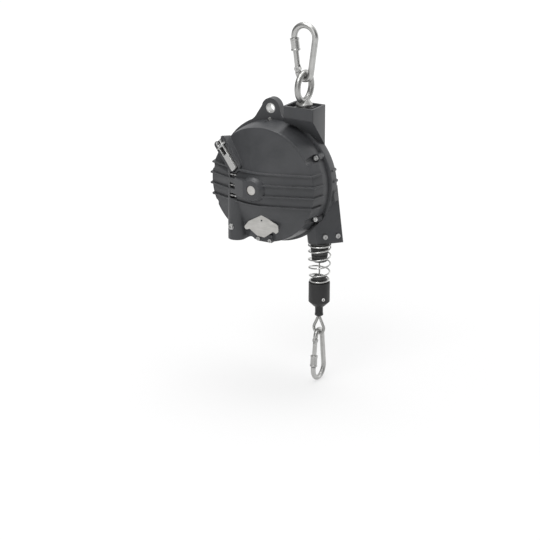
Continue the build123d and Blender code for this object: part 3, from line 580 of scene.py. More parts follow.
def turnOf(points, origin=(0, 0, 0), axis=(0, 1, 0), steps=128, corner=5):
    # Points are (along the axis, radius); a point on the axis closes the form
    path = roundedPath(points, corner)
    spine = Vector(axis)
    side = Vector((1, 0, 0)) if abs(spine.x) < 0.5 else Vector((0, 0, 1))
    other = spine.cross(side)
    rings = []
    for turn in range(steps):
        angle = 2 * math.pi * turn / steps
        outward = side * math.cos(angle) + other * math.sin(angle)
        rings += [Vector(origin) + spine * p[0] + outward * p[1] for p in path]
    count = len(path)
    faces = []
    for turn in range(steps):
        first, second = turn * count, (turn + 1) % steps * count
        for i in range(count):
            j = (i + 1) % count
            corners = [first + i, first + j, second + j, second + i]
            if path[i][1] == 0 and path[j][1] == 0:
                continue
            if path[i][1] == 0:
                corners = corners[:3]
            elif path[j][1] == 0:
                corners = [first + i, first + j, second + i]
            faces.append(corners)
    return meshOf("turned", rings, faces)


def carve(body, tools, operation="DIFFERENCE"):
    for tool in tools:
        modifier = body.modifiers.new("carve", "BOOLEAN")
        modifier.operation, modifier.solver, modifier.object = operation, "MANIFOLD", tool
    bpy.context.view_layer.update()
    mesh = bpy.data.meshes.new_from_object(body.evaluated_get(bpy.context.evaluated_depsgraph_get()))
    body.modifiers.clear()
    body.data = mesh
    for tool in tools:
        bpy.data.objects.remove(tool)
    return body


def settle(piece, name, finish, body, *replaced, smooth=32.0):
    piece.name = name
    piece.data.name = name
    piece.data.materials.clear()
    piece.data.materials.append(finish)
    piece.data.shade_smooth()
    piece.data.set_sharp_from_angle(angle=math.radians(smooth))
    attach(piece, body)
    if replaced:
        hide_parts(*replaced)
    return piece


# Sizes that the two castings share, from the drum axis and back from the cover's rim
shell = {
    "rim": 95.0,
    "skirt": 100.0,
    "flange": 105.0,
    "wall": 4.0,
    "cone": 37.0,
    "nose": 15.0,  # where the cone ends in a flat
    "back": 74.0,
    "bodyBack": 60.0,
    "backRadius": 66.0,
    "flangeDepth": 41.0,
    "bandDepth": 24.0,
    "screwDepth": 26.0,
    "screwRing": 99.0,
    "screwAngles": (31, 168, 205, 258, -31),
    "pocket": 6.5,
    "seat": 6.0,
    "reach": 200.0,  # well past the castings, for tools that cut right across
}
screwPlaces = [
    (shell["screwRing"] * math.cos(math.radians(a)), shell["screwRing"] * math.sin(math.radians(a)))
    for a in shell["screwAngles"]
]
lever = {
    "place": (-70.5, -12.0, 59.0),
    "tilt": 13.6,
    "turn": 45.0,
    "pocket": 6.0,
    "boxHalf": 13.0,
    "boxDeep": 14.0,
    "earInner": 6.0,
    "overhang": 10.0,
    "end": 48.0,
    "shortEnd": (-11.8, -6.0, 4.8, 6.0),  # room for the lever's short end as it swings in
    "shortEndDepth": 11.6,
    "underShortEnd": (-15.8, -10.2, 8.8, 10.2),
    "plungerAlong": 24.0,
    "plungerHole": 5.5,
}
cover = {
    "ribLevels": (-27.0, -9.0, 9.0, 27.0),
    "ribHeight": 2.6,
    "ribWidth": 2.6,
    "lipHeight": 0.9,
    "lipWidth": 1.6,
    "bossRadius": 15.5,
    "bossFoot": 21.0,
    "bossDepth": -38.0,
    "bore": 8.05,
    "shoulderHalf": 14.0,
    "facetAngle": 135.0,
    "facetHalfTurn": 30.0,
    "columnX": -45.0,
    "columnDepth": -6.0,
    "columnRadius": 14.6,
    "columnBore": 11.2,
    "columnLow": -95.0,
    "columnTop": 34.0,
    "wheelSpace": 38.7,
    "wheelWidth": 13.0,
    "windowLevels": (15.9, -2.0, -19.7),
    "windowWidth": 13.0,
    "windowHeight": 9.0,
    "windowFloor": -13.6,
    "lugScrew": (-9.0, 100.0),
    "seatBack": 6.0,
    "plateDepth": -14.0,
    "plate": [
        (8.3, -44.7, 3), (38.4, -58.5, 3), (39.2, -69.0, 2), (34.6, -73.7, 2), (28.7, -70.9, 2),
        (13.1, -83.2, 5), (-0.9, -82.2, 3), (-15.1, -72.7, 2), (-22.8, -75.3, 3), (-25.9, -70.0, 2),
        (-17.6, -59.3, 5),
    ],
    "plateSeat": [
        (8.3, -50, 2), (32.0, -61.0, 2), (12.0, -78.0, 4), (0.0, -78.0, 3), (-17.0, -66.0, 2),
        (-13.0, -61.0, 2),
    ],
    "latch": [(-7, -93, 2), (23, -93, 2), (23, -80), (-7, -80)],
    "latchDepth": -8.0,
}
ropePlace = (83.4, 42.0)


def coneDepth(radius):
    return -shell["cone"] * (1 - radius / shell["rim"])


def coverForm(grow):
    # Half section of the cover, with a thin lip where the cone meets the skirt
    rim, skirt, nose, front = shell["rim"], shell["skirt"], shell["nose"], -cover["lipHeight"] - grow
    return [
        (shell["flangeDepth"], 0),
        (shell["flangeDepth"], skirt + grow),
        (shell["bandDepth"], skirt - 1 + grow, 4),
        (front, rim + grow, 1.2),
        (front, rim - cover["lipWidth"] + grow, 0.7),
        (coneDepth(rim - 3.5) - grow, rim - 3.5 + grow, 1.0),
        (coneDepth(nose) - grow, nose),
        (coneDepth(nose) - grow, 0),
    ]


def ribsOf(plane, levels, width, left, length, form):
    # Level bars, kept only where they stand out of a casting by the form's growth
    half = width / 2
    ribs = [slabOf(plane, left, level - half, shell["reach"], level + half, length) for level in levels]
    ribs = carve(ribs[0], ribs[1:], "UNION")
    return carve(ribs, [turnOf(form)], "INTERSECT")


def leverPlanes():
    tilt, turned = math.radians(lever["tilt"]), math.radians(lever["turn"])
    level, rise = math.cos(tilt), math.sin(tilt)
    across = (level * math.cos(turned), -rise, -level * math.sin(turned))
    outward = (-rise * math.cos(turned), -level, rise * math.sin(turned))
    plane = planeOf(lever["place"], across, outward)
    return plane, offsetPlane(plane, -lever["pocket"])


def facetBlock(shift):
    # Cuts the flat that lies on the cone beside the lever
    angle = math.radians(cover["facetAngle"])
    slope = shell["cone"] / shell["rim"] / math.cos(math.radians(cover["facetHalfTurn"]))
    away = Vector((math.cos(angle), 0, math.sin(angle)))
    outward = Vector((slope * away.x, -1, slope * away.z))
    plane = planeOf((0, -shell["cone"], 0), (away.z, 0, -away.x), outward)
    wide = 2 * shell["rim"]
    return slabOf(offsetPlane(plane, shift), -wide, 0, wide, wide, 150)


def columnPlan(shift=0.0):
    place = (cover["columnX"], cover["columnDepth"], cover["columnLow"] + shift)
    return planeOf(place, (1, 0, 0), (0, 0, 1))


def boxSection(grow):
    half = lever["boxHalf"]
    start, end = -lever["overhang"] - 3 - grow, lever["end"] + 4 + grow
    return [(start, -half, 5), (end, -half, 8), (end, half, 8), (start, half, 5)]


def coverHollow():
    # The space inside, less the metal behind the screws, the facet and the lever's box
    wall, nose, back = shell["wall"], shell["nose"], shell["flangeDepth"]
    floor = coneDepth(nose) + wall + 5
    plane, pocketFloor = leverPlanes()
    hollow = turnOf([
        (back + 1, 0),
        (back + 1, shell["skirt"] - wall),
        (shell["bandDepth"], shell["skirt"] - 1 - wall),
        (wall, shell["rim"] - wall, 4),
        (floor, nose),
        (floor, 0),
    ])
    kept = [rodOf(frontAt(back + 2), shell["pocket"] + 3.5, 90, place) for place in screwPlaces]
    kept += [
        facetBlock(-wall),
        blockOf(offsetPlane(pocketFloor, -wall), boxSection(1), 80),
        slabOf(offsetPlane(plane, -lever["shortEndDepth"] - 3.9), *lever["underShortEnd"], 12),
    ]
    return carve(hollow, kept)


def coverForms():
    x, depth, radius = cover["columnX"], cover["columnDepth"], cover["columnRadius"]
    height = cover["columnTop"] - cover["columnLow"]
    half, boss, back = cover["shoulderHalf"], cover["bossDepth"], cover["seatBack"]
    shoulder = [(x - 3, 0), (x - 3, depth - radius, 3), (-15, boss, 6), (0, boss), (0, 0)]
    bossForm = [(0, 0), (0, 26), (-30, cover["bossFoot"]), (boss, cover["bossRadius"], 1.5), (boss, 0)]
    boxPlane = offsetPlane(leverPlanes()[1], -lever["boxDeep"])
    ribPlane, reach = frontAt(shell["bandDepth"]), shell["reach"]
    forms = [
        ribsOf(ribPlane, cover["ribLevels"], cover["ribWidth"], -reach, 90, coverForm(cover["ribHeight"])),
        blockOf(levelAt(-half), shoulder, 2 * half),
        turnOf(bossForm),
        rodOf(columnPlan(), radius, height),
        slabOf(columnPlan(), -radius, 0, radius, shell["bandDepth"] - depth, height),
        blockOf(boxPlane, boxSection(0), lever["boxDeep"] + lever["pocket"] - 1.5),
        blockOf(frontAt(back), cover["latch"], back - cover["latchDepth"]),
        blockOf(frontAt(back), cover["plateSeat"], back - cover["plateDepth"]),
    ]
    length = shell["flangeDepth"] - shell["screwDepth"]
    forms += [rodOf(frontAt(shell["flangeDepth"]), shell["seat"], length, place) for place in screwPlaces]
    return forms


def coverCuts():
    height, wheel = cover["columnTop"] - cover["columnLow"], cover["wheelWidth"]
    plane, pocketFloor = leverPlanes()
    half, start, end = lever["earInner"], -lever["overhang"] - 8, lever["end"] + 1.5
    plunger = tuple((plane[0] + plane[1] * lever["plungerAlong"]).xz)
    cuts = [
        coverHollow(),
        rodOf(frontAt(20), cover["bore"], 80),
        rodOf(columnPlan(3), cover["columnBore"], height - 6),
        rodOf(columnPlan(-1), 6.5, 10),  # the worm's lower end
        rodOf(frontAt(cover["columnDepth"] + wheel / 2), cover["wheelSpace"], wheel),
        rodOf(frontAt(shell["flangeDepth"] + 1), 3.5, 20, cover["lugScrew"]),
        rodOf(levelAt(cover["columnLow"] - 1), 1.75, 95, ropePlace),
        blockOf(frontAt(cover["plateDepth"]), cover["plate"], 14),
        blockOf(pocketFloor, [(start, -half), (end, -half, 2), (end, half, 2), (start, half)], 40),
        rodOf(frontAt(cover["seatBack"]), lever["plungerHole"], 40, plunger),
        slabOf(offsetPlane(plane, -lever["shortEndDepth"]), *lever["shortEnd"], 30),
    ]
    length = shell["screwDepth"] + 12
    cuts += [rodOf(frontAt(shell["screwDepth"]), shell["pocket"], length, place) for place in screwPlaces]
    middle, side, rise = cover["columnX"] + 1.5, cover["windowWidth"] / 2, cover["windowHeight"] / 2
    cuts += [
        slabOf(frontAt(cover["windowFloor"]), middle - side, level - rise, middle + side, level + rise, 20, 1)
        for level in cover["windowLevels"]
    ]
    return cuts


def castCover():
    body = carve(turnOf(coverForm(0)), [facetBlock(0)])
    body = carve(body, coverForms(), "UNION")
    body = carve(body, coverCuts())
    return settle(body, "ribbedCover", castFinish, "housing", "front_cover")


castCover()
print("cover cast")

housing = {
    "towerMid": (54.5, 39.0),
    "towerWidth": 55.0,
    "towerDepth": 44.0,
    "towerTop": 131.0,
    "towerFace": 19.0,
    "towerSlope": 50.0,
    "cavityFloor": 114.0,
    "nutPocket": 14.5,
    "nutFloor": 107.0,
    "bridgeTop": 128.0,
    "bridgeHeight": 9.0,
    "bridgeWidth": 30.0,
    "stemBore": 8.05,
    "lug": (-9.0, 118.0),
    "lugRadius": 16.5,
    "lugThickness": 14.0,
    "lugBore": 8.5,
    "outletHalf": 16.4,
    "outletRight": 33.6,
    "outletLow": -95.0,
    "outletTop": -22.0,
    "outletSlope": 0.131,
    "guideBore": 10.0,
    "ropeBore": 6.0,
    "backRibs": (-9.0, 9.0, 27.0),
    "ribWidth": 2.8,
    "ribHeight": 2.4,
    "shaftBoss": 20.0,
    "shaftBore": 10.0,
}


def towerSlab(shrink, low, height):
    (x, y), width, depth = housing["towerMid"], housing["towerWidth"] - shrink, housing["towerDepth"] - shrink
    return slabOf(levelAt(low), x - width / 2, y - depth / 2, x + width / 2, y + depth / 2, height, 3)


def backForm(grow):
    flange, back = shell["flange"] + grow, shell["back"] + grow
    return [
        (shell["flangeDepth"], 0),
        (shell["flangeDepth"], flange, 1.5),
        (shell["bodyBack"], flange, 4),
        (back, shell["backRadius"], 8),
        (back, 0),
    ]


def backHollow():
    wall, flange, depth = shell["wall"], shell["flange"], shell["flangeDepth"]
    skirt = shell["skirt"] - wall
    return turnOf([
        (12, 0),
        (12, flange),
        (depth, flange),
        (depth, skirt),
        (depth + 5, skirt),
        (depth + 5, flange - wall),
        (shell["bodyBack"] - 2.5, flange - wall, 3),
        (shell["back"] - wall, shell["backRadius"] - wall, 5),
        (shell["back"] - wall, 0),
    ])


def towerForm():
    # The tower slopes back from its face to the flange
    top, back = housing["towerTop"], shell["bodyBack"] + 1
    shoulder, front = top - housing["towerFace"], housing["towerMid"][1] - housing["towerDepth"] / 2
    side = planeOf((0, 0, 0), (0, 1, 0), (1, 0, 0))
    kept = [(front, top + 1), (front, shoulder, 8), (back, shoulder - housing["towerSlope"]), (back, top + 1)]
    return carve(towerSlab(0, 0, top), [blockOf(side, kept, shell["reach"])], "INTERSECT")


def lugForms():
    (x, z), radius, thick = housing["lug"], housing["lugRadius"], housing["lugThickness"]
    back = frontAt(shell["flangeDepth"] + thick)
    foot = [
        (x - 50, 82), (x - 29.5, 100.0, 14), (x - radius + 1.0, z + 4), (x + radius - 0.6, z + 3),
        (x + radius + 4, 104, 8), (40, 104), (40, 82),
    ]
    return [rodOf(back, radius, thick, housing["lug"]), blockOf(back, foot, thick)]


def outletForms():
    # The outlet, chamfered in front and slanted at the right, and the wedge that joins it to the flange
    x, y = ropePlace
    half, right, back = housing["outletHalf"], x + housing["outletRight"], shell["bodyBack"]
    low, top, slope = housing["outletLow"], housing["outletTop"], housing["outletSlope"]
    section = roundedPath([
        (x - half, back + 1, 2), (x - half, y - 11.0, 4), (x - 11.4, y - half, 3),
        (x + 3.9, y - half, 1.5), (right, back - 0.5, 1), (right, back + 1, 0.5),
    ])
    narrow = [(p[0] - slope * (top - low), p[1]) for p in section]
    wedge = [(x, top - 2), (right - slope * (top - low - 2), top - 2), (right + slope * low, 0), (x, 0)]
    return [loftOf(levelAt(low), section, narrow, top - low), blockOf(frontAt(back + 1), wedge, 14)]


def towerBridge():
    # The bar that the swivel's stem passes through, left across the tower's open top
    (x, y), high = housing["towerMid"], housing["bridgeHeight"]
    half, deep = housing["bridgeWidth"] / 2, (housing["towerDepth"] - shell["wall"]) / 2
    return slabOf(levelAt(housing["bridgeTop"] - high), x - half, y - deep, x + half, y + deep, high)


def castHousing():
    ribPlane, behind = frontAt(shell["back"] + 6), backForm(housing["ribHeight"])
    body = carve(turnOf(backForm(0)), [
        ribsOf(ribPlane, housing["backRibs"], housing["ribWidth"], -shell["flange"], 33, behind),
        towerForm(),
        rodOf(ribPlane, housing["shaftBoss"], 8),
        *lugForms(),
        *outletForms(),
    ], "UNION")
    body = carve(body, [
        backHollow(),
        towerSlab(8, housing["cavityFloor"], 20),
        rodOf(levelAt(housing["nutFloor"]), housing["nutPocket"], 30, housing["towerMid"]),
    ])
    body = carve(body, [towerBridge()], "UNION")
    thick, below = housing["lugThickness"], levelAt(housing["outletLow"] - 1)
    cuts = [
        rodOf(levelAt(housing["nutFloor"] + 2), housing["stemBore"], 30, housing["towerMid"]),
        rodOf(frontAt(shell["flangeDepth"] + thick + 1), housing["lugBore"], 2 * thick, housing["lug"]),
        rodOf(frontAt(shell["back"] + 7), housing["shaftBore"], 20),
        rodOf(below, housing["guideBore"], 17, ropePlace),
        rodOf(below, housing["ropeBore"], 51, ropePlace),
    ]
    cuts += [rodOf(frontAt(shell["flangeDepth"]), shell["pocket"] + 0.3, 40, place) for place in screwPlaces]
    return settle(carve(body, cuts), "rearHousing", castFinish, "housing", "main_housing")


castHousing()
print("housing cast")


def screwOf(plane, place, radius, height, shank):
    # Cap screw with a chamfered head and a hexagon socket
    head = carve(rodOf(plane, radius, height * 0.8, place), [
        rodOf(offsetPlane(plane, height * 0.8 - 0.01), radius, height * 0.2, place, radius * 0.86),
        rodOf(offsetPlane(plane, 0.01), radius * 0.6, -shank, place),
    ], "UNION")
    return carve(head, [rodOf(offsetPlane(plane, height * 0.45), radius * 0.52, height, place, sides=6)])


def joined(parts):
    first = parts[0]
    bpy.context.view_layer.update()
    build = bmesh.new()
    for part in parts:
        build.from_mesh(part.data)
    build.to_mesh(first.data)
    build.free()
    for part in parts[1:]:
        bpy.data.objects.remove(part)
    return first


stud = {"head": 2.6, "headLength": 3.2, "shank": 1.3, "length": 15.0, "depth": -17.6, "collar": 2.0}


def makeStuds():
    # Detent studs that lie across the column's windows, heads to the right
    end = cover["columnX"] + 1.5 + cover["windowWidth"] / 2 - 0.4
    parts = []
    for level in cover["windowLevels"]:
        plane = planeOf((end, stud["depth"], level), (0, 1, 0), (1, 0, 0))
        head = carve(rodOf(plane, stud["head"], -stud["headLength"]), [
            rodOf(offsetPlane(plane, 0.2), stud["shank"], -stud["length"]),
            rodOf(offsetPlane(plane, -7.5), stud["collar"], -2.2),
        ], "UNION")
        parts.append(carve(head, [slabOf(offsetPlane(plane, -1.0), -4, -0.5, 4, 0.5, 3)]))
    return settle(joined(parts), "detentStuds", screwFinish, "housing", "lock_studs")


columnBolt = {"turn": -10.0, "level": -72.5, "head": 4.5, "height": 2.8, "shank": 6.0, "washer": 5.3}


def makeColumnBolt():
    angle, radius = math.radians(columnBolt["turn"]), cover["columnRadius"]
    outward = (math.sin(angle), -math.cos(angle), 0)
    x, y = cover["columnX"] + radius * outward[0], cover["columnDepth"] + radius * outward[1]
    plane = planeOf((x, y, columnBolt["level"]), (-outward[1], outward[0], 0), outward)
    seat = offsetPlane(plane, 0.2)
    bolt = screwOf(seat, (0, 0), columnBolt["head"], columnBolt["height"], columnBolt["shank"])
    washer = rodOf(offsetPlane(plane, -0.6), columnBolt["washer"], 1.0)
    return settle(joined([bolt, washer]), "columnScrew", screwFinish, "housing", "column_bolt")


def tubeOf(name, path, radius, detail=6):
    # A round wire along a line of points given in millimetres
    curve = bpy.data.curves.new(name, "CURVE")
    curve.dimensions = "3D"
    curve.bevel_depth = radius / 1000
    curve.bevel_resolution = detail
    curve.use_fill_caps = True
    spline = curve.splines.new("POLY")
    spline.points.add(len(path) - 1)
    for point, place in zip(spline.points, path):
        point.co = (*((drumCentre + Vector(place)) / 1000), 1.0)
    wire = bpy.data.objects.new(name, curve)
    scene.collection.objects.link(wire)
    bpy.context.view_layer.update()
    mesh = bpy.data.meshes.new_from_object(wire.evaluated_get(bpy.context.evaluated_depsgraph_get()))
    bpy.data.objects.remove(wire)
    piece = bpy.data.objects.new(name, mesh)
    scene.collection.objects.link(piece)
    return piece


coil = {
    "wire": 1.3,
    "top": -98.4,
    "low": -162.1,
    "topRadius": 18.0,
    "middleRadius": 18.6,
    "lowRadius": 15.4,
    "closed": 0.9,
    "turns": 4.25,
    "start": 75.0,
    "steps": 40,
}


def makeSpring():
    # Barrel spring, right-handed, with a closed coil at each end
    total = coil["turns"] + 2 * coil["closed"]
    endDrop = 2 * coil["wire"] * coil["closed"]
    x, y = ropePlace
    points = []
    for step in range(int(total * coil["steps"]) + 1):
        turn = step / coil["steps"]
        active = min(max((turn - coil["closed"]) / coil["turns"], 0.0), 1.0)
        ends = min(turn, coil["closed"]) + max(turn - coil["closed"] - coil["turns"], 0.0)
        drop = ends / coil["closed"] * endDrop + active * (coil["top"] - coil["low"] - 2 * endDrop)
        reach = coil["topRadius"] * (1 - active) ** 2 + 2 * coil["middleRadius"] * active * (1 - active)
        reach += coil["lowRadius"] * active ** 2
        angle = math.radians(coil["start"]) - 2 * math.pi * turn
        points.append((x + reach * math.cos(angle), y + reach * math.sin(angle), coil["top"] - drop))
    wire = tubeOf("spring", points, coil["wire"])
    return settle(wire, "barrelSpring", springFinish, "housing", "buffer_spring", smooth=60)


cup = {
    "top": -163.5,
    "floor": -175.5,
    "radius": 17.6,
    "inner": 15.6,
    "chamferTop": -197.0,
    "chamferLow": -205.0,
    "foot": 9.5,
    "neckTop": -207.0,
    "neckLow": -217.0,
    "collar": 7.0,
    "collarTop": -218.2,
    "collarLow": -221.8,
    "low": -222.0,
}


def makeCup():
    # Clamp cup with a thin rim, chamfered foot and collared neck
    form = [
        (cup["top"], cup["inner"], 0.4), (cup["top"], cup["radius"], 0.6),
        (cup["chamferTop"], cup["radius"], 1.5), (cup["chamferLow"], cup["foot"], 1.5),
        (cup["neckTop"], 6.6, 1.0), (cup["neckLow"], 6.5),
        (cup["collarTop"], cup["collar"], 0.4), (cup["collarLow"], cup["collar"], 0.6),
        (cup["low"], 0), (cup["floor"], 0), (cup["floor"], cup["inner"], 0.4),
    ]
    piece = turnOf(form, origin=(*ropePlace, 0), axis=(0, 0, 1), steps=72, corner=4)
    return settle(piece, "clampCup", cupFinish, "rope_end", "rope_clamp", smooth=35)


cupScrews = (
    # name, finish, angle round the rope, height, head radius, CAD nodes that it stands in for
    ("cupSetScrew", cupFinish, -58.3, -168.2, 1.8, ()),
    ("cupScrew", brightFinish, -38.4, -189.7, 2.7, ("clamp_screws",)),
)


def makeCupScrews():
    x, y = ropePlace
    for name, finish, angle, height, radius, replaced in cupScrews:
        side, deep = math.cos(math.radians(angle)), math.sin(math.radians(angle))
        place = (x + cup["radius"] * side, y + cup["radius"] * deep, height)
        plane = planeOf(place, (-deep, side, 0), (side, deep, 0))
        screw = screwOf(offsetPlane(plane, -0.9), (0, 0), radius, 1.6, 1.5)
        settle(screw, name, finish, "rope_end", *replaced)


buffer = {
    "seatRadius": 17.0,
    "seatThick": 2.0,
    "topRadius": 15.7,
    "lowRadius": 12.4,
    "height": 30.5,
    "bore": 3.5,
    "grooves": 4,
    "grooveDepth": 1.3,
    "grooveHalf": 1.0,
}


def makeBuffer():
    # Ribbed rubber stop, tapered, with rounded lands between its grooves
    top, bore, seat = housing["outletLow"], buffer["bore"], buffer["seatRadius"]
    start = top - buffer["seatThick"]
    low = start - buffer["height"]
    pitch = buffer["height"] / (buffer["grooves"] + 1)
    half, depth = buffer["grooveHalf"], buffer["grooveDepth"]

    def surface(level):
        share = (start - level) / buffer["height"]
        return buffer["topRadius"] + (buffer["lowRadius"] - buffer["topRadius"]) * share

    form = [(top, bore), (top, seat), (start, seat, 0.5), (start, surface(start))]
    for index in range(buffer["grooves"]):
        level = start - pitch * (index + 1)
        form += [
            (level + half + 0.3, surface(level + half), 0.5),
            (level + half * 0.5, surface(level) - depth, 0.3),
            (level - half * 0.5, surface(level) - depth, 0.3),
            (level - half - 0.3, surface(level - half), 0.5),
        ]
    form += [(low, surface(low), 2.0), (low, bore)]
    piece = turnOf(form, origin=(*ropePlace, 0), axis=(0, 0, 1), steps=72, corner=4)
    return settle(piece, "rubberBuffer", rubberFinish, "housing", "buffer", smooth=40)


rope = {
    "strands": 6,
    "runLay": 9.0,
    "runStrand": 0.44,
    "runOffset": 0.78,
    "runStep": 0.75,
    "eyeLay": 15.0,
    "eyeStrand": 0.98,
    "eyeOffset": 1.55,
    "eyeSteps": 48,
    "legSteps": 13,
    "legApart": 0.9,
}


def strandsOf(path, strandRadius, offset, lay, name, detail):
    # Strands laid round a line of points that never runs front to back
    across = Vector((0, 1, 0))
    lengths = [0.0]
    for first, second in zip(path, path[1:]):
        lengths.append(lengths[-1] + (second - first).length)
    parts = []
    for strand in range(rope["strands"]):
        points = []
        for index, place in enumerate(path):
            ahead = (path[min(index + 1, len(path) - 1)] - path[max(index - 1, 0)]).normalized()
            sideways = ahead.cross(across).normalized()
            other = sideways.cross(ahead)
            angle = 2 * math.pi * (strand / rope["strands"] + lengths[index] / lay)
            points.append(place + (sideways * math.cos(angle) + other * math.sin(angle)) * offset)
        parts.append(tubeOf(name, points, strandRadius, detail=detail))
    return joined(parts)


def layRope():
    # Wire rope from the drum down to the cup's neck
    low, high = [(corner * 1000 - drumCentre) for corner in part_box("rope_run")]
    x, y = (low.x + high.x) / 2, (low.y + high.y) / 2
    steps = int((high.z - low.z) / rope["runStep"])
    inner = high.z - low.z - 0.6
    path = [Vector((x, y, low.z + 0.3 + inner * i / steps)) for i in range(steps + 1)]
    run = strandsOf(path, rope["runStrand"], rope["runOffset"], rope["runLay"], "ropeStrand", 1)
    settle(run, "wireRope", ropeFinish, "rope_end", "rope_run", smooth=60)


def layLoop():
    # The loop spliced round below the cup's neck: two straight legs and a bow
    low, high = [(corner * 1000 - drumCentre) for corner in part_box("thimble")]
    bulk = rope["eyeOffset"] + rope["eyeStrand"] + 0.15
    radius = (high.x - low.x) / 2 - bulk
    x, y = (low.x + high.x) / 2, (low.y + high.y) / 2
    middle, apex = low.z + bulk + radius, high.z - 2.0
    tangent = math.acos(radius / (apex - middle))
    count, legs = rope["eyeSteps"], rope["legSteps"]
    start = Vector((x - rope["legApart"], y, apex))
    end = Vector((x - radius * math.sin(tangent), y, middle + radius * math.cos(tangent)))
    path = [start.lerp(end, i / legs) for i in range(legs)]
    for i in range(count + 1):
        angle = tangent + (2 * math.pi - 2 * tangent) * i / count
        path.append(Vector((x - radius * math.sin(angle), y, middle + radius * math.cos(angle))))
    path += [Vector((2 * x - p.x, p.y, p.z)) for p in reversed(path[:legs])]
    loop = strandsOf(path, rope["eyeStrand"], rope["eyeOffset"], rope["eyeLay"], "loopStrand", 2)
    settle(loop, "ropeLoop", loopFinish, "rope_end", "thimble", smooth=60)


layRope()
layLoop()
makeStuds()
makeColumnBolt()
makeSpring()
makeBuffer()
makeCup()
makeCupScrews()
print("small pieces made")

studio = {
    "floor": (0.93, 0.93, 0.93),
    "floorSize": 12.0,
    "floorDrop": 0.0006,
    "shadow": 0.30,  # share of the floor that takes light, and so the shadow
    "nearWhite": 0.84,  # under the lamps, where the floor is lit too
    "farWhite": 1.25,
    "nearReach": 0.25,
    "farReach": 2.0,
    "worldLight": 0.22,
    "sweep": 0.60,
    "ceiling": 0.45,
    "cards": 0.34,
    "least": 0.03,
    "cardDark": 0.85,
    "frontDark": 0.45,
    "leastMirrored": 0.1,
}


def whiteToTheEye(tree, shaded, share):
    # White for what the camera and shiny metal see, plain shading for all other light
    far = addNode(tree, "ShaderNodeVectorMath", operation="LENGTH")
    tree.links.new(placeIn(tree), far.inputs[0])
    near, away = studio["nearReach"], studio["farReach"]
    strength = rampOf(tree, far.outputs["Value"], near, away, studio["nearWhite"], studio["farWhite"])
    path = addNode(tree, "ShaderNodeLightPath")
    seen = mathOf(tree, "MAXIMUM", path.outputs["Is Camera Ray"], path.outputs["Is Glossy Ray"])
    seen = mathOf(tree, "MAXIMUM", seen, path.outputs["Is Transmission Ray"])
    white = addNode(tree, "ShaderNodeEmission", {"Color": (1.0, 1.0, 1.0, 1.0)})
    tree.links.new(strength, white.inputs["Strength"])
    mix = addNode(tree, "ShaderNodeMixShader")
    tree.links.new(mathOf(tree, "MULTIPLY", seen, 1.0 - share), mix.inputs["Fac"])
    tree.links.new(shaded, mix.inputs[1])
    tree.links.new(white.outputs["Emission"], mix.inputs[2])
    return mix.outputs["Shader"]


def layFloor():
    half = studio["floorSize"] / 2
    level = cadLow.z - studio["floorDrop"]
    mesh = bpy.data.meshes.new("studioFloor")
    corners = [(-half, -half, level), (half, -half, level), (half, half, level), (-half, half, level)]
    mesh.from_pydata(corners, [], [(0, 1, 2, 3)])
    floor = bpy.data.objects.new("studioFloor", mesh)
    scene.collection.objects.link(floor)
    material, tree, shader = newFinish("studioFloor")
    shader.inputs["Base Color"].default_value = (*studio["floor"], 1.0)
    shader.inputs["Roughness"].default_value = 0.9
    shader.inputs["Specular IOR Level"].default_value = 0.0
    output = tree.nodes["Material Output"]
    tree.links.new(whiteToTheEye(tree, shader.outputs["BSDF"], studio["shadow"]), output.inputs["Surface"])
    mesh.materials.append(material)


def weighted(tree, value, weight):
    return mathOf(tree, "MULTIPLY", value, weight)


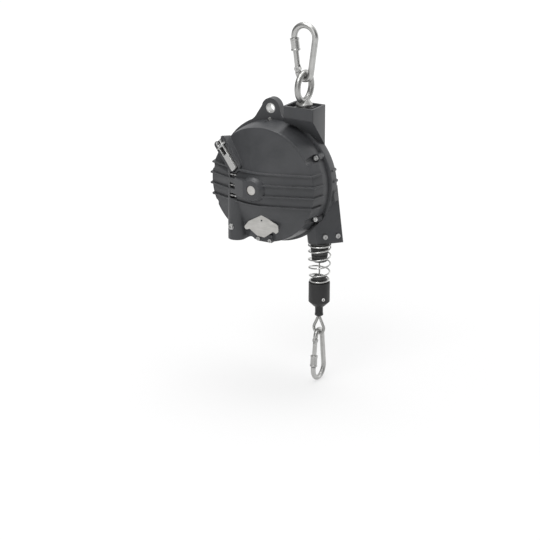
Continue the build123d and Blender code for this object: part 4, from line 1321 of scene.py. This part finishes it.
def lightWorld():
    # White to the camera; to the object a white sweep behind and above, with dark cards at both sides
    world = bpy.data.worlds.new("studioWorld")
    scene.world = world
    world.use_nodes = True
    tree = world.node_tree
    tree.nodes.clear()
    path = addNode(tree, "ShaderNodeLightPath")
    direction = addNode(tree, "ShaderNodeSeparateXYZ")
    tree.links.new(addNode(tree, "ShaderNodeTexCoord").outputs["Generated"], direction.inputs["Vector"])
    behind = mathOf(tree, "MAXIMUM", direction.outputs["Y"], 0.0)
    inFront = mathOf(tree, "MAXIMUM", weighted(tree, direction.outputs["Y"], -1.0), 0.0)
    above = mathOf(tree, "MAXIMUM", direction.outputs["Z"], 0.0)
    aside = mathOf(tree, "ABSOLUTE", direction.outputs["X"], 0.0)
    sweep, ceiling = weighted(tree, behind, studio["sweep"]), weighted(tree, above, studio["ceiling"])
    level = mathOf(tree, "ADD", mathOf(tree, "ADD", sweep, ceiling), studio["worldLight"])
    level = mathOf(tree, "SUBTRACT", level, weighted(tree, aside, studio["cards"]))
    level = mathOf(tree, "MAXIMUM", level, studio["least"])
    # Mirrored, the background is white too, but for the cards and the dark room in front
    cards = weighted(tree, weighted(tree, aside, aside), studio["cardDark"])
    dimmed = mathOf(tree, "ADD", cards, weighted(tree, inFront, studio["frontDark"]))
    mirrored = mathOf(tree, "MAXIMUM", mathOf(tree, "SUBTRACT", 1.0, dimmed), studio["leastMirrored"])
    shiny = mathOf(tree, "MAXIMUM", path.outputs["Is Glossy Ray"], path.outputs["Is Transmission Ray"])
    kept = weighted(tree, level, mathOf(tree, "SUBTRACT", 1.0, shiny))
    soft = addNode(tree, "ShaderNodeBackground", {"Color": (1.0, 1.0, 1.0, 1.0)})
    strength = mathOf(tree, "ADD", kept, weighted(tree, mirrored, shiny))
    tree.links.new(strength, soft.inputs["Strength"])
    white = addNode(tree, "ShaderNodeBackground", {"Color": (1.0, 1.0, 1.0, 1.0), "Strength": 1.0})
    mix = addNode(tree, "ShaderNodeMixShader")
    output = addNode(tree, "ShaderNodeOutputWorld")
    tree.links.new(path.outputs["Is Camera Ray"], mix.inputs["Fac"])
    tree.links.new(soft.outputs["Background"], mix.inputs[1])
    tree.links.new(white.outputs["Background"], mix.inputs[2])
    tree.links.new(mix.outputs["Shader"], output.inputs["Surface"])


lamps = (
    # name, place, watts, size; all four point at lampTarget
    ("frontSoftbox", (0.6, -2.3, 0.7), 10.5, (1.3, 1.5)),
    ("rimSoftbox", (1.1, 1.9, 0.3), 6.0, (1.2, 1.8)),
    ("topSoftbox", (-0.2, 0.3, 1.9), 34.0, (1.5, 1.5)),
    ("ridgeSoftbox", (-0.1, -1.2, 1.6), 14.0, (0.9, 0.5)),
)
lampTarget = Vector((0.0, 0.0, -0.26))


def hangLamp(name, place, power, size):
    data = bpy.data.lights.new(name, "AREA")
    data.shape = "RECTANGLE"
    data.size, data.size_y = size
    data.energy = power
    lamp = bpy.data.objects.new(name, data)
    scene.collection.objects.link(lamp)
    lamp.location = place
    lamp.rotation_euler = (lampTarget - Vector(place)).to_track_quat("-Z", "Y").to_euler()
    lamp.visible_camera = False


layFloor()
lightWorld()
for lamp in lamps:
    hangLamp(*lamp)
print("studio lit")

print("scene done")
